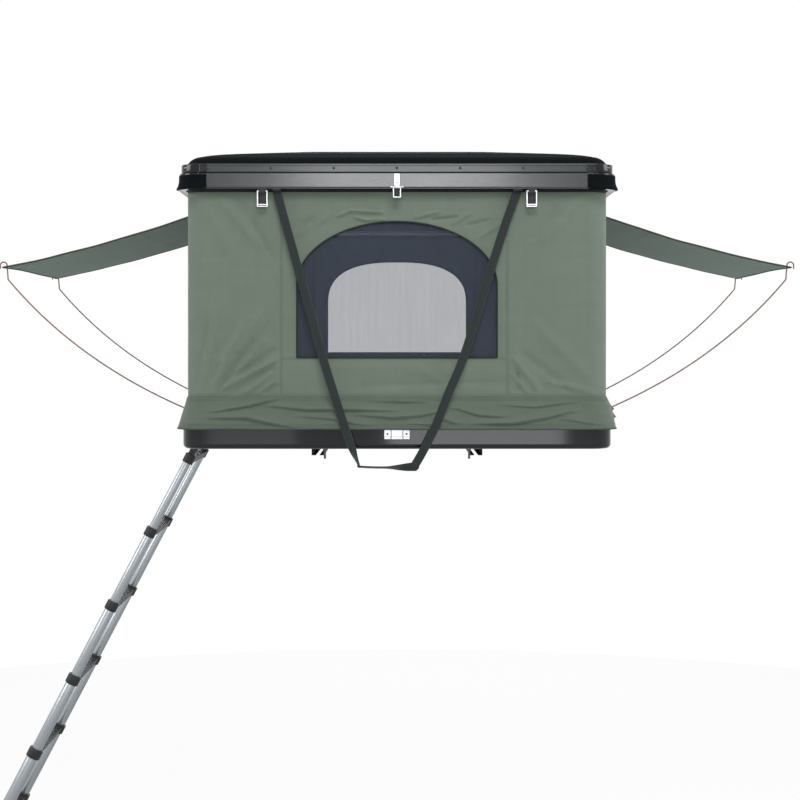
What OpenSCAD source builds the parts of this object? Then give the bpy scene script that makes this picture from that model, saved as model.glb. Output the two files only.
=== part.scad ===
// Hard-shell roof top tent, standing open, with side awnings, gas struts and a telescopic ladder.
// Millimetres. Z = 0 is the underside of the mounting rails, -Y is the front, +X is the right side.

/* [Lid] */
// Width of the lid over its lip
lid_w = 1400; // [1250:10:1600]
// Length of the lid over its lip
lid_l = 2100; // [1950:10:2400]
// Radius of the corners, over the lip
corner_r = 75; // [65:1:110]
// Height of the lip's lower face, tent open
lip_z = 848; // [820:1:900]
// Rise of the domed crown over the trim
crown_h = 63; // [40:1:80]
// Width of the crown's rounded shoulder
shoulder_w = 70; // [50:1:100]
// Wall of both shells
shell_t = 4.5; // [3:0.5:6]
// Thickness of the headliner
headliner_t = 6; // [4:1:10]
// Height of the headliner over the lip
headliner_up = 67; // [62:1:72]

/* [Trim] */
// Height of the lower trim band, lip included
band_low_h = 51; // [44:1:58]
// Height of the groove between the bands
groove_h = 2.5; // [1.5:0.5:4]
// Height of the upper trim band
band_up_h = 27; // [22:1:34]
// How far the lip stands out past the lower band
lip_step = 3; // [2:0.5:5]
// How far the upper band stays behind the lip
band_step = 10; // [8:0.5:12]
// Depth of the trim from the lip to its inner face
trim_d = 17; // [15:0.5:20]
// Width of the flange under the trim
flange_w = 24; // [22:1:28]
// Thickness of the flange
flange_t = 3; // [2:0.5:4]
// Distance between the rivets
rivet_pitch = 200; // [120:5:300]
// Radius of a rivet's head
rivet_r = 4.5; // [3:0.5:6]
// Width of the lid frame's clamping flange
frame_w = 53; // [50:1:70]
// Thickness of the lid frame
frame_t = 4; // [3:0.5:6]

/* [Base] */
// Height of the lower shell
base_h = 100; // [92:1:130]
// How far the lower shell stays inside the lid's lip
base_in = 14.5; // [13:0.5:18]
// Radius of the lower shell's rolled bottom edge
edge_r = 15; // [8:1:18]
// Width of the lower shell's rim
rim_w = 36; // [34:1:44]
// Thickness of the floor panel
floor_t = 12; // [8:1:16]
// Height of the rim seal
seal_h = 6; // [4:0.5:8]
// Width of the rim seal
seal_w = 8; // [6:0.5:9]
// Thickness of the mattress at its crown
mattress_t = 55; // [40:1:60]
// Width of the mattress, in a lid of the standard width
mattress_w = 1190; // [1000:5:1200]
// Length of the mattress, in a lid of the standard length
mattress_l = 1960; // [1700:5:1980]

/* [Mounting rails] */
// Distance between the mounting rails
rail_gap = 510; // [400:5:800]
// Width of a mounting rail
rail_w = 40; // [36:1:60]
// Height of a mounting rail
rail_h = 25; // [20:1:35]
// Length of a mounting rail
rail_l = 1900; // [1400:10:1950]
// Wall of a mounting rail
rail_t = 3; // [2.5:0.5:4]
// Width of the slot under a mounting rail
slot_w = 12; // [10:0.5:14]
// Distance between the bolts along a rail
bolt_gap = 900; // [600:10:1200]
// Radius of a bolt's thread
bolt_r = 4; // [3:0.5:5]
// Length of a bolt below its rail
bolt_l = 45; // [30:1:60]

/* [Canvas] */
// Thickness of the canvas
cloth_t = 2; // [1.5:0.5:3]
// Gap between the canvas and the lid's flange
cloth_gap = 5; // [4:0.5:8]
// Radius of the canvas at the corners
cloth_r = 60; // [45:1:70]
// Width of a window
window_w = 634; // [400:2:800]
// Height of a window's sill
window_sill = 316; // [260:2:340]
// Height of a window's straight sides
window_side = 228; // [180:2:250]
// Rise of a window's arch
window_arch = 202; // [120:2:220]
// Width of a side opening
door_w = 800; // [500:5:850]
// Height of a side opening's sill
door_sill = 205; // [200:1:300]
// Height of a side opening's head
door_head = 770; // [700:1:780]
// Radius of a side opening's corners
door_r = 90; // [40:5:150]
// Thickness of the netting
net_t = 1.2; // [1:0.1:2]
// Overlap of the netting on the canvas
net_lap = 15; // [8:1:25]
// Radius of the rolled-up door
roll_r = 24; // [15:1:30]
// Height of the skirt's top seam
skirt_top = 190; // [180:1:200]
// Height of the skirt's hem
hem_z = 89; // [80:1:95]
// How far the hem stands out from the canvas
hem_out = 31; // [28:1:40]
// Height of the skirt's folds
skirt_fold = 5; // [2:0.5:8]
// Height of the canvas folds
cloth_fold = 9; // [3:0.5:12]

/* [Awnings] */
// Length of an awning along the tent
awning_l = 874; // [700:2:900]
// Reach of an awning from the canvas
awning_reach = 726; // [600:2:800]
// Fall of an awning from root to edge
awning_fall = 203; // [150:1:240]
// Sag of an awning's cloth
awning_sag = 18; // [5:1:30]
// Thickness of an awning's cloth
awning_t = 3; // [2:0.5:4]
// Height of an awning's root below the lip
awning_drop = 13; // [10:0.5:18]
// Distance of a rod from an awning's ends and edge
rod_in = 12; // [10:0.5:16]
// Radius of a spring rod
rod_r = 2.5; // [1.5:0.1:3]
// Radius of a rod's hook
hook_r = 12; // [10:0.5:16]
// Height of the rods' sockets over the rails' underside
socket_z = 112; // [100:1:114]
// Radius of a socket
socket_r = 7; // [5:0.5:8]
// Length of a socket
socket_l = 17.5; // [15:0.5:24]

/* [Strap and latches] */
// Width of the pull strap
strap_w = 27; // [20:1:40]
// Thickness of the pull strap
strap_t = 2.5; // [1.5:0.5:4]
// Distance between the strap's anchors
strap_gap = 762; // [600:2:800]
// Height of a strap anchor
anchor_h = 5; // [4:0.5:8]
// Distance between the two side latches
latch_gap = 852; // [840:2:1000]
// Width of a latch ring
ring_w = 34; // [30:1:48]
// Length of a latch ring
ring_l = 51; // [40:1:52]
// Width of the hasp's ring
hasp_w = 26; // [26:1:40]
// Length of the hasp's ring
hasp_l = 34; // [28:1:40]
// Radius of the rings' wire
wire_r = 2; // [1.5:0.1:2.5]
// Length of the bearing block of a latch
block_w = 20; // [14:1:24]
// Thickness of the keeper plates
keeper_t = 2; // [1.5:0.5:2.5]

/* [Gas struts] */
// Distance of the struts from the lid's lip
strut_in = 75; // [70:1:85]
// Distance of a strut's foot from the middle, in a lid of the standard length
foot_y = 380; // [300:5:450]
// Distance of a strut's head from the middle, in a lid of the standard length
head_y = 880; // [820:5:900]
// Height of a strut's foot over the floor panel
foot_up = 34; // [26:1:40]
// Drop of a strut's head below the lip
head_drop = 3; // [0:1:10]
// Radius of a strut's cylinder
strut_r = 11; // [9:0.5:13]
// Radius of a strut's rod
piston_rod_r = 5; // [4:0.5:6]
// Length of a strut's cylinder, from the foot's pin
strut_l = 465; // [440:5:470]
// Radius of the pins
pin_r = 4; // [3:0.5:5]
// Thickness of the strut brackets
bracket_t = 4; // [3:0.5:6]

/* [Ladder] */
// Lean of the ladder from upright, in degrees
ladder_lean = 27.7; // [15:0.1:35]
// Distance between the ladder's rails
ladder_w = 400; // [320:5:500]
// Distance from the ladder's pin to its uppermost collar
ladder_head = 103; // [60:1:120]
// Distance from rung to rung
rung_pitch = 307; // [280:1:340]
// Radius of the uppermost tube
tube_r = 15; // [13:0.5:18]
// Wall of the tubes
tube_t = 1.3; // [1:0.1:1.6]
// Lap of one tube in the next
tube_lap = 40; // [25:1:60]
// Thickness of a collar
collar_t = 5; // [4:0.5:7]
// Height of a collar
collar_h = 34; // [26:1:40]
// Depth of a rung
rung_d = 34; // [24:1:38]
// Height of a rung
rung_h = 24; // [18:1:26]
// Distance of the ladder's pin from the lower shell
ladder_out = 26.5; // [25:0.5:35]
// Height of the ladder's pin over the rails' underside
ladder_z = 45; // [40:1:60]

/* [Hidden] */
$fn = 64;
gap = 0.3;
fit = 0.06;
corner_clear = 9;
proud = 2;
sections = 7;
window_cut = 60;
bow_in = 260;
bow_up = 171;
standard_w = 1400;
standard_l = 2100;

hw = lid_w / 2;
hl = lid_l / 2;
wider = lid_w - standard_w;
longer = lid_l - standard_l;
foot_at = foot_y + longer / 2;
head_at = head_y + longer / 2;
base_z = rail_h;
base_x = hw - base_in;
base_y = hl - base_in;
base_r = corner_r - base_in + 10;
rim_z = base_z + base_h;
floor_z = base_z + shell_t;
bed_z = floor_z + floor_t;
cloth_x = hw - flange_w - cloth_gap;
cloth_y = hl - flange_w - cloth_gap;
low_z = lip_z + band_low_h;
up_z = low_z + groove_h;
trim_z = up_z + band_up_h;
frame_z = lip_z + flange_t + 13;
cloth_top = frame_z - gap;
strut_x = hw - strut_in;
foot_z = bed_z + foot_up;
head_z = lip_z - head_drop;
tube_step = tube_t + gap;
eye_w = 10;
pin_x = base_x + ladder_out;

black = [0.07, 0.08, 0.09];
green = [0.44, 0.49, 0.44];
steel = [0.75, 0.76, 0.77];
alloy = [0.66, 0.68, 0.70];
dark = [0.16, 0.17, 0.18];

// Outlines and small helpers

// Rounded rectangle by its half sizes
module outline(a, b, r) {
  square([2 * (a - r), 2 * b], center = true);
  square([2 * a, 2 * (b - r)], center = true);
  for (i = [-1, 1], j = [-1, 1])
    translate([i * (a - r), j * (b - r)])
      circle(r);
}

// Flat plate with rounded corners from height z
module slab(a, b, r, z, h) {
  translate([0, 0, z])
    linear_extrude(h)
      outline(a, b, r);
}

// Flat ring with rounded corners, t wide, from height z
module ring(a, b, r, t, z, h) {
  translate([0, 0, z])
    linear_extrude(h)
      difference() {
        outline(a, b, r);
        outline(a - t, b - t, max(r - t, 8));
      }
}

module both_sides() {
  children();
  mirror([1, 0, 0])
    children();
}

module both_ends() {
  children();
  mirror([0, 1, 0])
    children();
}

// Cylinder along X from x0 to x1
module x_rod(r, x0, x1) {
  translate([x0, 0, 0])
    rotate([0, 90, 0])
      cylinder(r = r, h = x1 - x0);
}

// Cylinder along Y, centred
module y_rod(r, l) {
  rotate([90, 0, 0])
    cylinder(r = r, h = l, center = true);
}

// Closed sheet between two grids of points, open or closed along its columns
module sheet(outer, inner, wrap = false) {
  rows = len(outer);
  cols = len(outer[0]);
  n = rows * cols;
  last = wrap ? cols - 1 : cols - 2;
  points = concat([for (row = outer) each row], [for (row = inner) each row]);
  grid = [for (i = [0:rows - 2], j = [0:last]) [i * cols + j, i * cols + (j + 1) % cols]];
  faces = concat(
    [for (g = grid) each [[g[0], g[0] + cols, g[1]], [g[1], g[0] + cols, g[1] + cols]]],
    [for (g = grid) each [[n + g[0], n + g[1], n + g[0] + cols], [n + g[1], n + g[1] + cols, n + g[0] + cols]]],
    [for (j = [0:last]) let (a = j, b = (j + 1) % cols) each [[a, b, n + a], [b, n + b, n + a]]],
    [for (j = [0:last]) let (a = n - cols + j, b = n - cols + (j + 1) % cols)
      each [[b, a, n + a], [b, n + a, n + b]]],
    wrap ? [] : [for (i = [0:rows - 2]) let (a = i * cols, b = a + cols) each [[b, a, n + a], [b, n + a, n + b]]],
    wrap ? [] : [for (i = [0:rows - 2]) let (a = i * cols + cols - 1, b = a + cols)
      each [[a, b, n + a], [b, n + b, n + a]]]
  );
  polyhedron(points, faces, convexity = 6);
}

// Points and normals along an arc and a straight
function arc(cx, cy, r, a0, a1, n) =
  [for (i = [0:n]) let (a = a0 + (a1 - a0) * i / n) [cx + r * cos(a), cy + r * sin(a), cos(a), sin(a)]];
function straight(p, q, normal, n) =
  [for (i = [1:n - 1]) [p[0] + (q[0] - p[0]) * i / n, p[1] + (q[1] - p[1]) * i / n, normal[0], normal[1]]];

// Front run of the canvas: half of each corner's wall and the flat between
function front_run(n, corner_n) =
  let (x = cloth_x - cloth_r, y = cloth_y - cloth_r)
    concat(
      arc(-x, -y, cloth_r, 180, 270, corner_n),
      straight([-x, -cloth_y], [x, -cloth_y], [0, -1], n),
      arc(x, -y, cloth_r, 270, 360, corner_n)
    );

function turned(run) = [for (p = run) [-p[0], -p[1], -p[2], -p[3]]];

// Whole run of the canvas round the tent
function whole_run(n, m, corner_n) =
  let (x = cloth_x, y = cloth_y - cloth_r, front = front_run(n, corner_n))
    concat(
      front,
      straight([x, -y], [x, y], [1, 0], m),
      turned(front),
      straight([-x, y], [-x, -y], [-1, 0], m)
    );

function pushed(p, d, z) = [p[0] + p[2] * d, p[1] + p[3] * d, z];

// Smooth ridge of height h and width w along the line from a to b
function ridge(p, a, b, w, h) =
  let (v = b - a, t = max(0, min(1, ((p - a) * v) / (v * v))), d = norm(p - a - t * v))
    h * exp(-pow(d / w, 2));

// Folds of the front canvas: a fan at the lower left, a weaker one at the lower right, slack at the head
function front_folds(x, z) =
  let (
    p = [x, z],
    e = cloth_x - cloth_r,
    s = skirt_top,
    head = min(1, max(0, (cloth_top - 40 - z) / 120)),
    seam = min(1, max(0, (z - s - 50) / 60))
  )
    head * seam * (
      ridge(p, [-e, s], [30 - window_w / 2 - 60, s + 135], 42, cloth_fold)
      + ridge(p, [-e - 10, s + 70], [-window_w / 2 - 90, s + 200], 36, cloth_fold * 0.7)
      + ridge(p, [80 - e, s - 30], [-window_w / 2, s + 70], 34, cloth_fold * 0.6)
      + ridge(p, [e, s + 10], [window_w / 2 + 60, s + 120], 44, cloth_fold * 0.6)
      + ridge(p, [-e, s + 520], [-window_w / 2 - 100, s + 440], 50, cloth_fold * 0.5)
      + ridge(p, [e, s + 500], [window_w / 2 + 100, s + 430], 50, cloth_fold * 0.5)
    );

// Cloth wall along a run, from the rim to the lid frame
module wall(run, rows, folded) {
  zs = [for (i = [0:rows]) rim_z + gap + (cloth_top - rim_z - gap) * i / rows];
  function fold(p, z) = folded ? front_folds(p[0], z) * abs(p[3]) : 0;
  sheet(
    [for (z = zs) [for (p = run) pushed(p, fold(p, z), z)]],
    [for (z = zs) [for (p = run) pushed(p, fold(p, z) - cloth_t, z)]]
  );
}

// Arched window, grown by e
module window_shape(e) {
  a = window_w / 2 + e;
  top = window_sill + window_side;
  translate([-a, window_sill - e])
    square([2 * a, window_side + e]);
  intersection() {
    polygon([for (i = [0:48]) [a * cos(i * 3.75), top + (window_arch + e) * sin(i * 3.75)]]);
    translate([-a, top - 1])
      square([2 * a, window_arch + e + 2]);
  }
}

// Side opening with rounded corners, grown by e
module door_shape(e) {
  h = (door_head - door_sill) / 2 + e;
  translate([0, door_sill - e + h])
    outline(door_w / 2 + e, h, door_r);
}

// Upright plate of a shape drawn in X and Z, with its front face at y
module upright(y, t) {
  translate([0, y, 0])
    rotate([90, 0, 0])
      translate([0, 0, -t])
        linear_extrude(t)
          children();
}

// Base

module lower_shell() {
  color(black)
    difference() {
      union() {
        slab(base_x, base_y, base_r, base_z + edge_r, base_h - edge_r);
        hull() {
          for (a = [0, 30, 60, 90])
            slab(
              base_x - edge_r * (1 - sin(a)), base_y - edge_r * (1 - sin(a)),
              base_r - edge_r * (1 - sin(a)), base_z + edge_r * (1 - cos(a)), 0.4
            );
        }
      }
      slab(
        base_x - shell_t - edge_r, base_y - shell_t - edge_r, base_r - shell_t - edge_r,
        floor_z, edge_r + 1
      );
      slab(base_x - shell_t, base_y - shell_t, base_r - shell_t, floor_z + edge_r, base_h - edge_r - 2 * shell_t);
      slab(base_x - rim_w, base_y - rim_w, base_r - rim_w, floor_z + edge_r, base_h);
    }
}

module floor_panel() {
  inset = shell_t + edge_r + gap;
  color([0.55, 0.5, 0.42])
    slab(base_x - inset, base_y - inset, base_r - inset, floor_z, floor_t);
}

// Crowned pad with drawn-in sides
module mattress() {
  a = (mattress_w + wider) / 2;
  b = (mattress_l + longer) / 2;
  n = 12;
  m = 18;
  function sq(t) = t * (1.5 - 0.5 * t * t);
  function lift(u, v) = (1 - pow(abs(u), 6)) * (1 - pow(abs(v), 6));
  function place(i, j, top) =
    let (u = sq(2 * i / n - 1), v = sq(2 * j / m - 1), k = lift(u, v))
      [
        a * u * (1 - 0.012 * (1 - v * v)), b * v * (1 - 0.008 * (1 - u * u)),
        bed_z + (top ? mattress_t * (0.8 + 0.2 * k) : mattress_t * 0.12 * (1 - k))
      ];
  color(green)
    sheet(
      [for (j = [0:m]) [for (i = [0:n]) place(n - i, j, true)]],
      [for (j = [0:m]) [for (i = [0:n]) place(n - i, j, false)]]
    );
}

module rim_seal() {
  inset = 2.5;
  color(dark)
    ring(base_x - inset, base_y - inset, base_r - inset, seal_w, rim_z, seal_h);
}

module mounting_rails() {
  color(alloy)
    both_sides()
      translate([rail_gap / 2, rail_l / 2, 0])
        rotate([90, 0, 0])
          linear_extrude(rail_l)
            difference() {
              translate([-rail_w / 2, 0])
                square([rail_w, rail_h]);
              translate([rail_t - rail_w / 2, rail_t])
                square([rail_w - 2 * rail_t, rail_h - 2 * rail_t]);
              translate([-slot_w / 2, -1])
                square([slot_w, rail_t + 2]);
            }
}

module mount_bolts() {
  neck = slot_w - 2;
  color(steel)
    both_sides()
      both_ends()
        translate([rail_gap / 2, bolt_gap / 2, 0]) {
          translate([0, 0, -bolt_l])
            cylinder(r = bolt_r, h = bolt_l);
          translate([-neck / 2, -neck / 2, 0])
            cube([neck, neck, rail_t]);
          translate([3 * rail_t / 2 - rail_w / 2, -neck, rail_t])
            cube([rail_w - 3 * rail_t, 2 * neck, 6]);
        }
}

// Keeper under the skirt for a side latch
module side_keeper() {
  translate([latch_gap / 2 - ring_w / 2, -base_y - keeper_t, rim_z - 34])
    cube([ring_w, keeper_t, 24]);
  translate([latch_gap / 2 - ring_w / 4, -base_y - keeper_t - 1, rim_z - 28])
    cube([ring_w / 2, 1, 8]);
}

module latch_keepers() {
  plate_w = 80;
  plate_h = 31;
  bridge_w = 36;
  plate_z = base_z + edge_r + 17;
  color(steel) {
    both_ends()
      both_sides()
        side_keeper();
    translate([-plate_w / 2, -base_y - keeper_t, plate_z])
      cube([plate_w, keeper_t, plate_h]);
    translate([-bridge_w / 2, -base_y - keeper_t - 2, plate_z])
      cube([bridge_w, 2, plate_h]);
  }
}

module rod_sockets() {
  color(dark)
    both_sides()
      both_ends()
        translate([0, awning_l / 2 - rod_in, socket_z])
          difference() {
            x_rod(socket_r, base_x, base_x + socket_l);
            x_rod(rod_r + gap, base_x + 1, base_x + socket_l + 1);
          }
}

// Eye and stud of a strut sit between strut_x - eye_w / 2 and the bracket's face
function strut_face() = strut_x + strut_r + 1.5;

module strut_foot_brackets() {
  color(alloy)
    both_sides()
      both_ends()
        translate([0, foot_at, 0]) {
          translate([strut_face(), -22, bed_z])
            cube([bracket_t, 44, foot_up + 12]);
          translate([strut_face(), -22, bed_z])
            cube([base_x - shell_t - edge_r - strut_face() - 2, 44, bracket_t]);
          translate([0, 0, foot_z]) {
            x_rod(pin_r, strut_x - eye_w / 2 - 1, strut_face() + 1);
            x_rod(pin_r + 3, strut_x + eye_w / 2 + gap, strut_face() + 1);
          }
        }
}

module ladder_bracket() {
  eye = 24;
  ear = 5;
  arm = 8;
  color(dark)
    for (s = [-1, 1])
      translate([-base_x, s * ladder_w / 2, ladder_z]) {
        translate([-ear, -eye / 2 - ear - 5, -ladder_z + base_z + edge_r + 1])
          cube([ear, eye + 2 * ear + 10, hem_z - base_z - edge_r - 6]);
        for (e = [-1, 1])
          translate([-ladder_out - arm, e * (eye / 2 + ear / 2 + 0.5) - ear / 2, -arm])
            cube([ladder_out + arm - 1, ear, 2 * arm]);
        translate([-ladder_out, 0, 0])
          y_rod(5, eye + 2 * ear);
      }
}

// Canvas

module canvas_front() {
  color(green)
    difference() {
      wall(front_run(28, 4), 15, true);
      upright(-cloth_y - window_cut, 2 * window_cut)
        window_shape(0);
    }
}

module canvas_rear() {
  color(green)
    difference() {
      wall(turned(front_run(12, 4)), 4, false);
      upright(cloth_y - window_cut, 2 * window_cut)
        window_shape(0);
    }
}

module side_wall() {
  y = cloth_y - cloth_r;
  difference() {
    translate([cloth_x - cloth_t, -y, rim_z + gap])
      cube([cloth_t, 2 * y, cloth_top - rim_z - gap]);
    rotate([0, 0, 90])
      upright(-cloth_x - 20, 40)
        door_shape(0);
  }
}

module canvas_left() {
  color(green)
    mirror([1, 0, 0])
      side_wall();
}

module canvas_right() {
  color(green)
    side_wall();
}

// Flared hem of the canvas, wavy towards its lower edge
module skirt() {
  run = whole_run(22, 26, 4);
  rows = 4;
  n = len(run);
  function wave(i) = 0.5 + 0.32 * sin(i * 360 / n * 11 + 40) + 0.18 * sin(i * 360 / n * 23 + 110);
  function out(i, k) = gap + hem_out * pow(1 - k, 0.9) + skirt_fold * wave(i) * sin(min(1, 1 - k) * 150);
  function height(i, k) = hem_z + (skirt_top - hem_z) * k;
  function grid(d) =
    [for (r = [0:rows]) let (k = r / rows) [for (i = [0:n - 1]) pushed(run[i], out(i, k) + d, height(i, k))]];
  color(green)
    difference() {
      sheet(grid(cloth_t), grid(0), true);
      both_sides()
        both_ends()
          translate([0, awning_l / 2 - rod_in, socket_z])
            x_rod(socket_r + 2, base_x + 1, base_x + hem_out + 20);
    }
}

// Netting of both windows and of the right side
module window_netting() {
  color([0.3, 0.31, 0.35]) {
    both_ends()
      upright(-cloth_y + cloth_t + gap, net_t)
        window_shape(net_lap);
    rotate([0, 0, 90])
      upright(-cloth_x + cloth_t + gap, net_t)
        door_shape(net_lap);
  }
}

// Left door, rolled up over its head
module door_roll() {
  color([0.3, 0.31, 0.35])
    translate([-cloth_x + cloth_t + gap + roll_r, 0, door_head + 4])
      y_rod(roll_r, door_w - 2 * door_r);
}

// Lid

// Levels of the crown: how far each lies inside the trim's inner face and how high, as shares
crown_levels = [[0.20, 0], [0.42, 0.32], [0.62, 0.51], [0.92, 0.68], [1.25, 0.78], [3.6, 0.93], [7, 1]];

// Domed crown, d smaller all round
module crown(d) {
  hull()
    for (l = crown_levels) {
      in = trim_d + l[0] * shoulder_w + d;
      slab(hw - in, hl - in, max(corner_r - trim_d - 0.5 * l[0] * shoulder_w, 20), trim_z - d + l[1] * crown_h, 0.3);
    }
}

module upper_shell() {
  in = trim_d + gap;
  skirt_z = low_z + 4;
  color(black)
    difference() {
      union() {
        slab(hw - in, hl - in, corner_r - in, skirt_z, trim_z + 3 - skirt_z);
        crown(0);
      }
      slab(hw - in - shell_t, hl - in - shell_t, corner_r - in - shell_t, skirt_z - 1, trim_z + 2 - shell_t - skirt_z);
      crown(shell_t);
    }
}

// Section of the trim: outward distance from the lip, and height
trim_section = [
  [0, 0], [0, 3], [-lip_step, 3 + lip_step], [-lip_step, band_low_h], [-trim_d + 3, band_low_h],
  [-trim_d + 3, band_low_h + groove_h], [-band_step, band_low_h + groove_h],
  [-band_step, trim_z - lip_z], [-trim_d, trim_z - lip_z], [-trim_d, flange_t], [-flange_w, flange_t], [-flange_w, 0]
];

module trim_rails() {
  color(black) {
    both_ends()
      translate([corner_r - hw, -hl, lip_z])
        rotate([90, 0, 90])
          linear_extrude(lid_w - 2 * corner_r)
            polygon([for (p = trim_section) [-p[0], p[1]]]);
    both_sides()
      translate([hw, hl - corner_r, lip_z])
        rotate([90, 0, 0])
          linear_extrude(lid_l - 2 * corner_r)
            polygon(trim_section);
  }
}

module trim_corners() {
  color(black)
    both_sides()
      both_ends()
        translate([hw - corner_r, hl - corner_r, lip_z])
          rotate_extrude(angle = 90)
            translate([corner_r, 0])
              polygon(trim_section);
}

// Places along a rail of length l, evenly spaced about its middle
function places(l) = let (n = floor((l - 40) / rivet_pitch / 2)) [for (i = [-n:n]) i * rivet_pitch];

module rivet() {
  cylinder(r = rivet_r, h = 1);
  translate([0, 0, 1])
    cylinder(r1 = rivet_r, r2 = rivet_r * 0.6, h = 1);
}

module trim_rivets() {
  z = up_z + band_up_h / 2;
  color(steel) {
    for (x = places(lid_w - 2 * corner_r))
      both_ends()
        translate([x, band_step - hl, z])
          rotate([90, 0, 0])
            rivet();
    for (y = places(lid_l - 2 * corner_r))
      both_sides()
        translate([hw - band_step, y, z])
          rotate([0, 90, 0])
            rivet();
  }
}

// Frame inside the lid that clamps the canvas and carries the struts
module lid_frame() {
  in = trim_d + gap;
  inner = flange_w + cloth_gap + cloth_t + gap;
  color(alloy) {
    ring(hw - in, hl - in, corner_r - in, frame_w, frame_z, frame_t);
    ring(
      hw - inner, hl - inner, cloth_r - cloth_t - gap + corner_clear, frame_t,
      lip_z + flange_t, frame_z + 1 - lip_z - flange_t
    );
  }
}

module headliner() {
  in = trim_d + shell_t + 2 * gap;
  color([0.6, 0.62, 0.6])
    slab(hw - in, hl - in, corner_r - in, lip_z + headliner_up, headliner_t);
}

module strut_head_brackets() {
  color(alloy)
    both_sides()
      both_ends()
        translate([strut_face(), head_at - 22, head_z - 14])
          cube([bracket_t, 44, frame_z - head_z + 14]);
}

// Bearing block of a side latch, under the lip at the front right
ring_y = hl - 7;
ring_z = lip_z - 6;
module latch_block() {
  translate([latch_gap / 2, -ring_y, ring_z])
    difference() {
      translate([-block_w / 2, -6, -6])
        cube([block_w, 12, 12]);
      x_rod(wire_r + fit, -block_w, block_w);
    }
}

// Plate and knuckle of the centre hasp, on the lower band
hasp_y = hl + wire_r + 4;
hasp_z = lip_z + 5;
module hasp_plate() {
  face = hl - lip_step;
  plate_w = 16;
  difference() {
    union() {
      translate([-plate_w / 2, -face - proud, lip_z + 7])
        cube([plate_w, proud, band_low_h - 10]);
      translate([-plate_w / 2, -hasp_y, lip_z + 7])
        cube([plate_w, hasp_y - face, 3]);
      translate([0, -hasp_y, hasp_z])
        x_rod(wire_r + 3, -plate_w / 2, plate_w / 2);
      translate([0, -face - proud, lip_z + band_low_h - 10])
        rotate([90, 0, 0])
          cylinder(r = 4, h = 1.5);
    }
    translate([0, -hasp_y, hasp_z])
      x_rod(wire_r + fit, -plate_w, plate_w);
  }
}

module latch_brackets() {
  color(steel) {
    both_ends()
      both_sides()
        latch_block();
    hasp_plate();
  }
}

module strap_anchors() {
  color(dark)
    both_sides()
      translate([strap_gap / 2 - strap_w / 2, 2 - hl, lip_z - anchor_h])
        cube([strap_w, base_in - 1.5, anchor_h]);
}

// Route of the pull strap seen from the front, with how far it stands off the canvas
hem_off = hem_out + gap + cloth_t + skirt_fold + 1;
strap_route = [
  [-strap_gap / 2, lip_z - anchor_h - gap, flange_w + cloth_gap - 14], [-336, 680, 18], [-240, 336, 24],
  [-198, 200, hem_off - 3], [-163, 92, hem_off], [-124, -14, hem_off + 2], [-106, -29, hem_off + 2],
  [40, -29, hem_off + 2], [62, -14, hem_off + 2], [118, 92, hem_off], [161, 200, hem_off - 3],
  [217, 336, 24], [324, 680, 18], [strap_gap / 2, lip_z - anchor_h - gap, flange_w + cloth_gap - 14]
];

module pull_strap() {
  n = len(strap_route);
  function way(i) =
    let (a = strap_route[max(i - 1, 0)], b = strap_route[min(i + 1, n - 1)], d = [b[0] - a[0], b[1] - a[1]])
      d / norm(d);
  function place(i, side, deep) =
    let (p = strap_route[i], w = way(i), h = side * strap_w / 2)
      [p[0] - w[1] * h, -cloth_y - p[2] - deep, p[1] + w[0] * h];
  function across(i, deep) = [place(i, 1, deep), place(i, 0, deep), place(i, -1, deep)];
  color(dark)
    intersection() {
      sheet(
        [for (i = [0:n - 1]) across(i, strap_t)],
        [for (i = [0:n - 1]) across(i, 0)]
      );
      translate([-lid_w, -2 * lid_l, lip_z - 2 * lid_l])
        cube([2 * lid_w, 4 * lid_l, 2 * lid_l - anchor_h - gap]);
    }
}

// Wire loop that hangs from its upper bar, with a second bar above its lower one
module wire_loop(w, l) {
  x = w / 2 - wire_r;
  x_rod(wire_r, -x, x);
  translate([0, 0, -l + wire_r])
    x_rod(wire_r, -x, x);
  for (s = [-x, x])
    translate([s, 0, 0]) {
      translate([0, 0, -l + wire_r])
        cylinder(r = wire_r, h = l - wire_r);
      sphere(wire_r);
      translate([0, 0, -l + wire_r])
        sphere(wire_r);
    }
}

module latch_ring(sx, sy) {
  color(steel)
    translate([sx * latch_gap / 2, sy * ring_y, ring_z]) {
      wire_loop(ring_w, ring_l);
      translate([0, 0, -ring_l + 4 * wire_r])
        x_rod(wire_r, wire_r - ring_w / 2, ring_w / 2 - wire_r);
    }
}

module latch_ring_front_left() { latch_ring(-1, -1); }
module latch_ring_front_right() { latch_ring(1, -1); }
module latch_ring_rear_left() { latch_ring(-1, 1); }
module latch_ring_rear_right() { latch_ring(1, 1); }

module hasp_ring() {
  color(steel)
    translate([0, -hasp_y, hasp_z])
      wire_loop(hasp_w, hasp_l);
}

// Gas struts, drawn along Z from the foot's pin and then leaned to their head

strut_run = norm([head_at - foot_at, head_z - foot_z]);
strut_lean = atan2(head_at - foot_at, head_z - foot_z);
gland = 10;
piston_back = strut_run - strut_l + gland + 1;

module strut_at(sx, sy) {
  translate([sx * strut_x, sy * foot_at, foot_z])
    rotate([-sy * strut_lean, 0, 0])
      children();
}

module strut_cylinder(sx, sy) {
  color(black)
    strut_at(sx, sy)
      difference() {
        union() {
          x_rod(strut_r, -eye_w / 2, eye_w / 2);
          cylinder(r = eye_w / 2, h = 24);
          translate([0, 0, 20])
            cylinder(r = strut_r, h = strut_l - 20);
        }
        x_rod(pin_r + fit, -eye_w, eye_w);
        translate([0, 0, 27])
          cylinder(r = strut_r - 2, h = strut_l - gland - 27);
        translate([0, 0, strut_l - gland - 1])
          cylinder(r = piston_rod_r + fit, h = gland + 2);
      }
}

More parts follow.
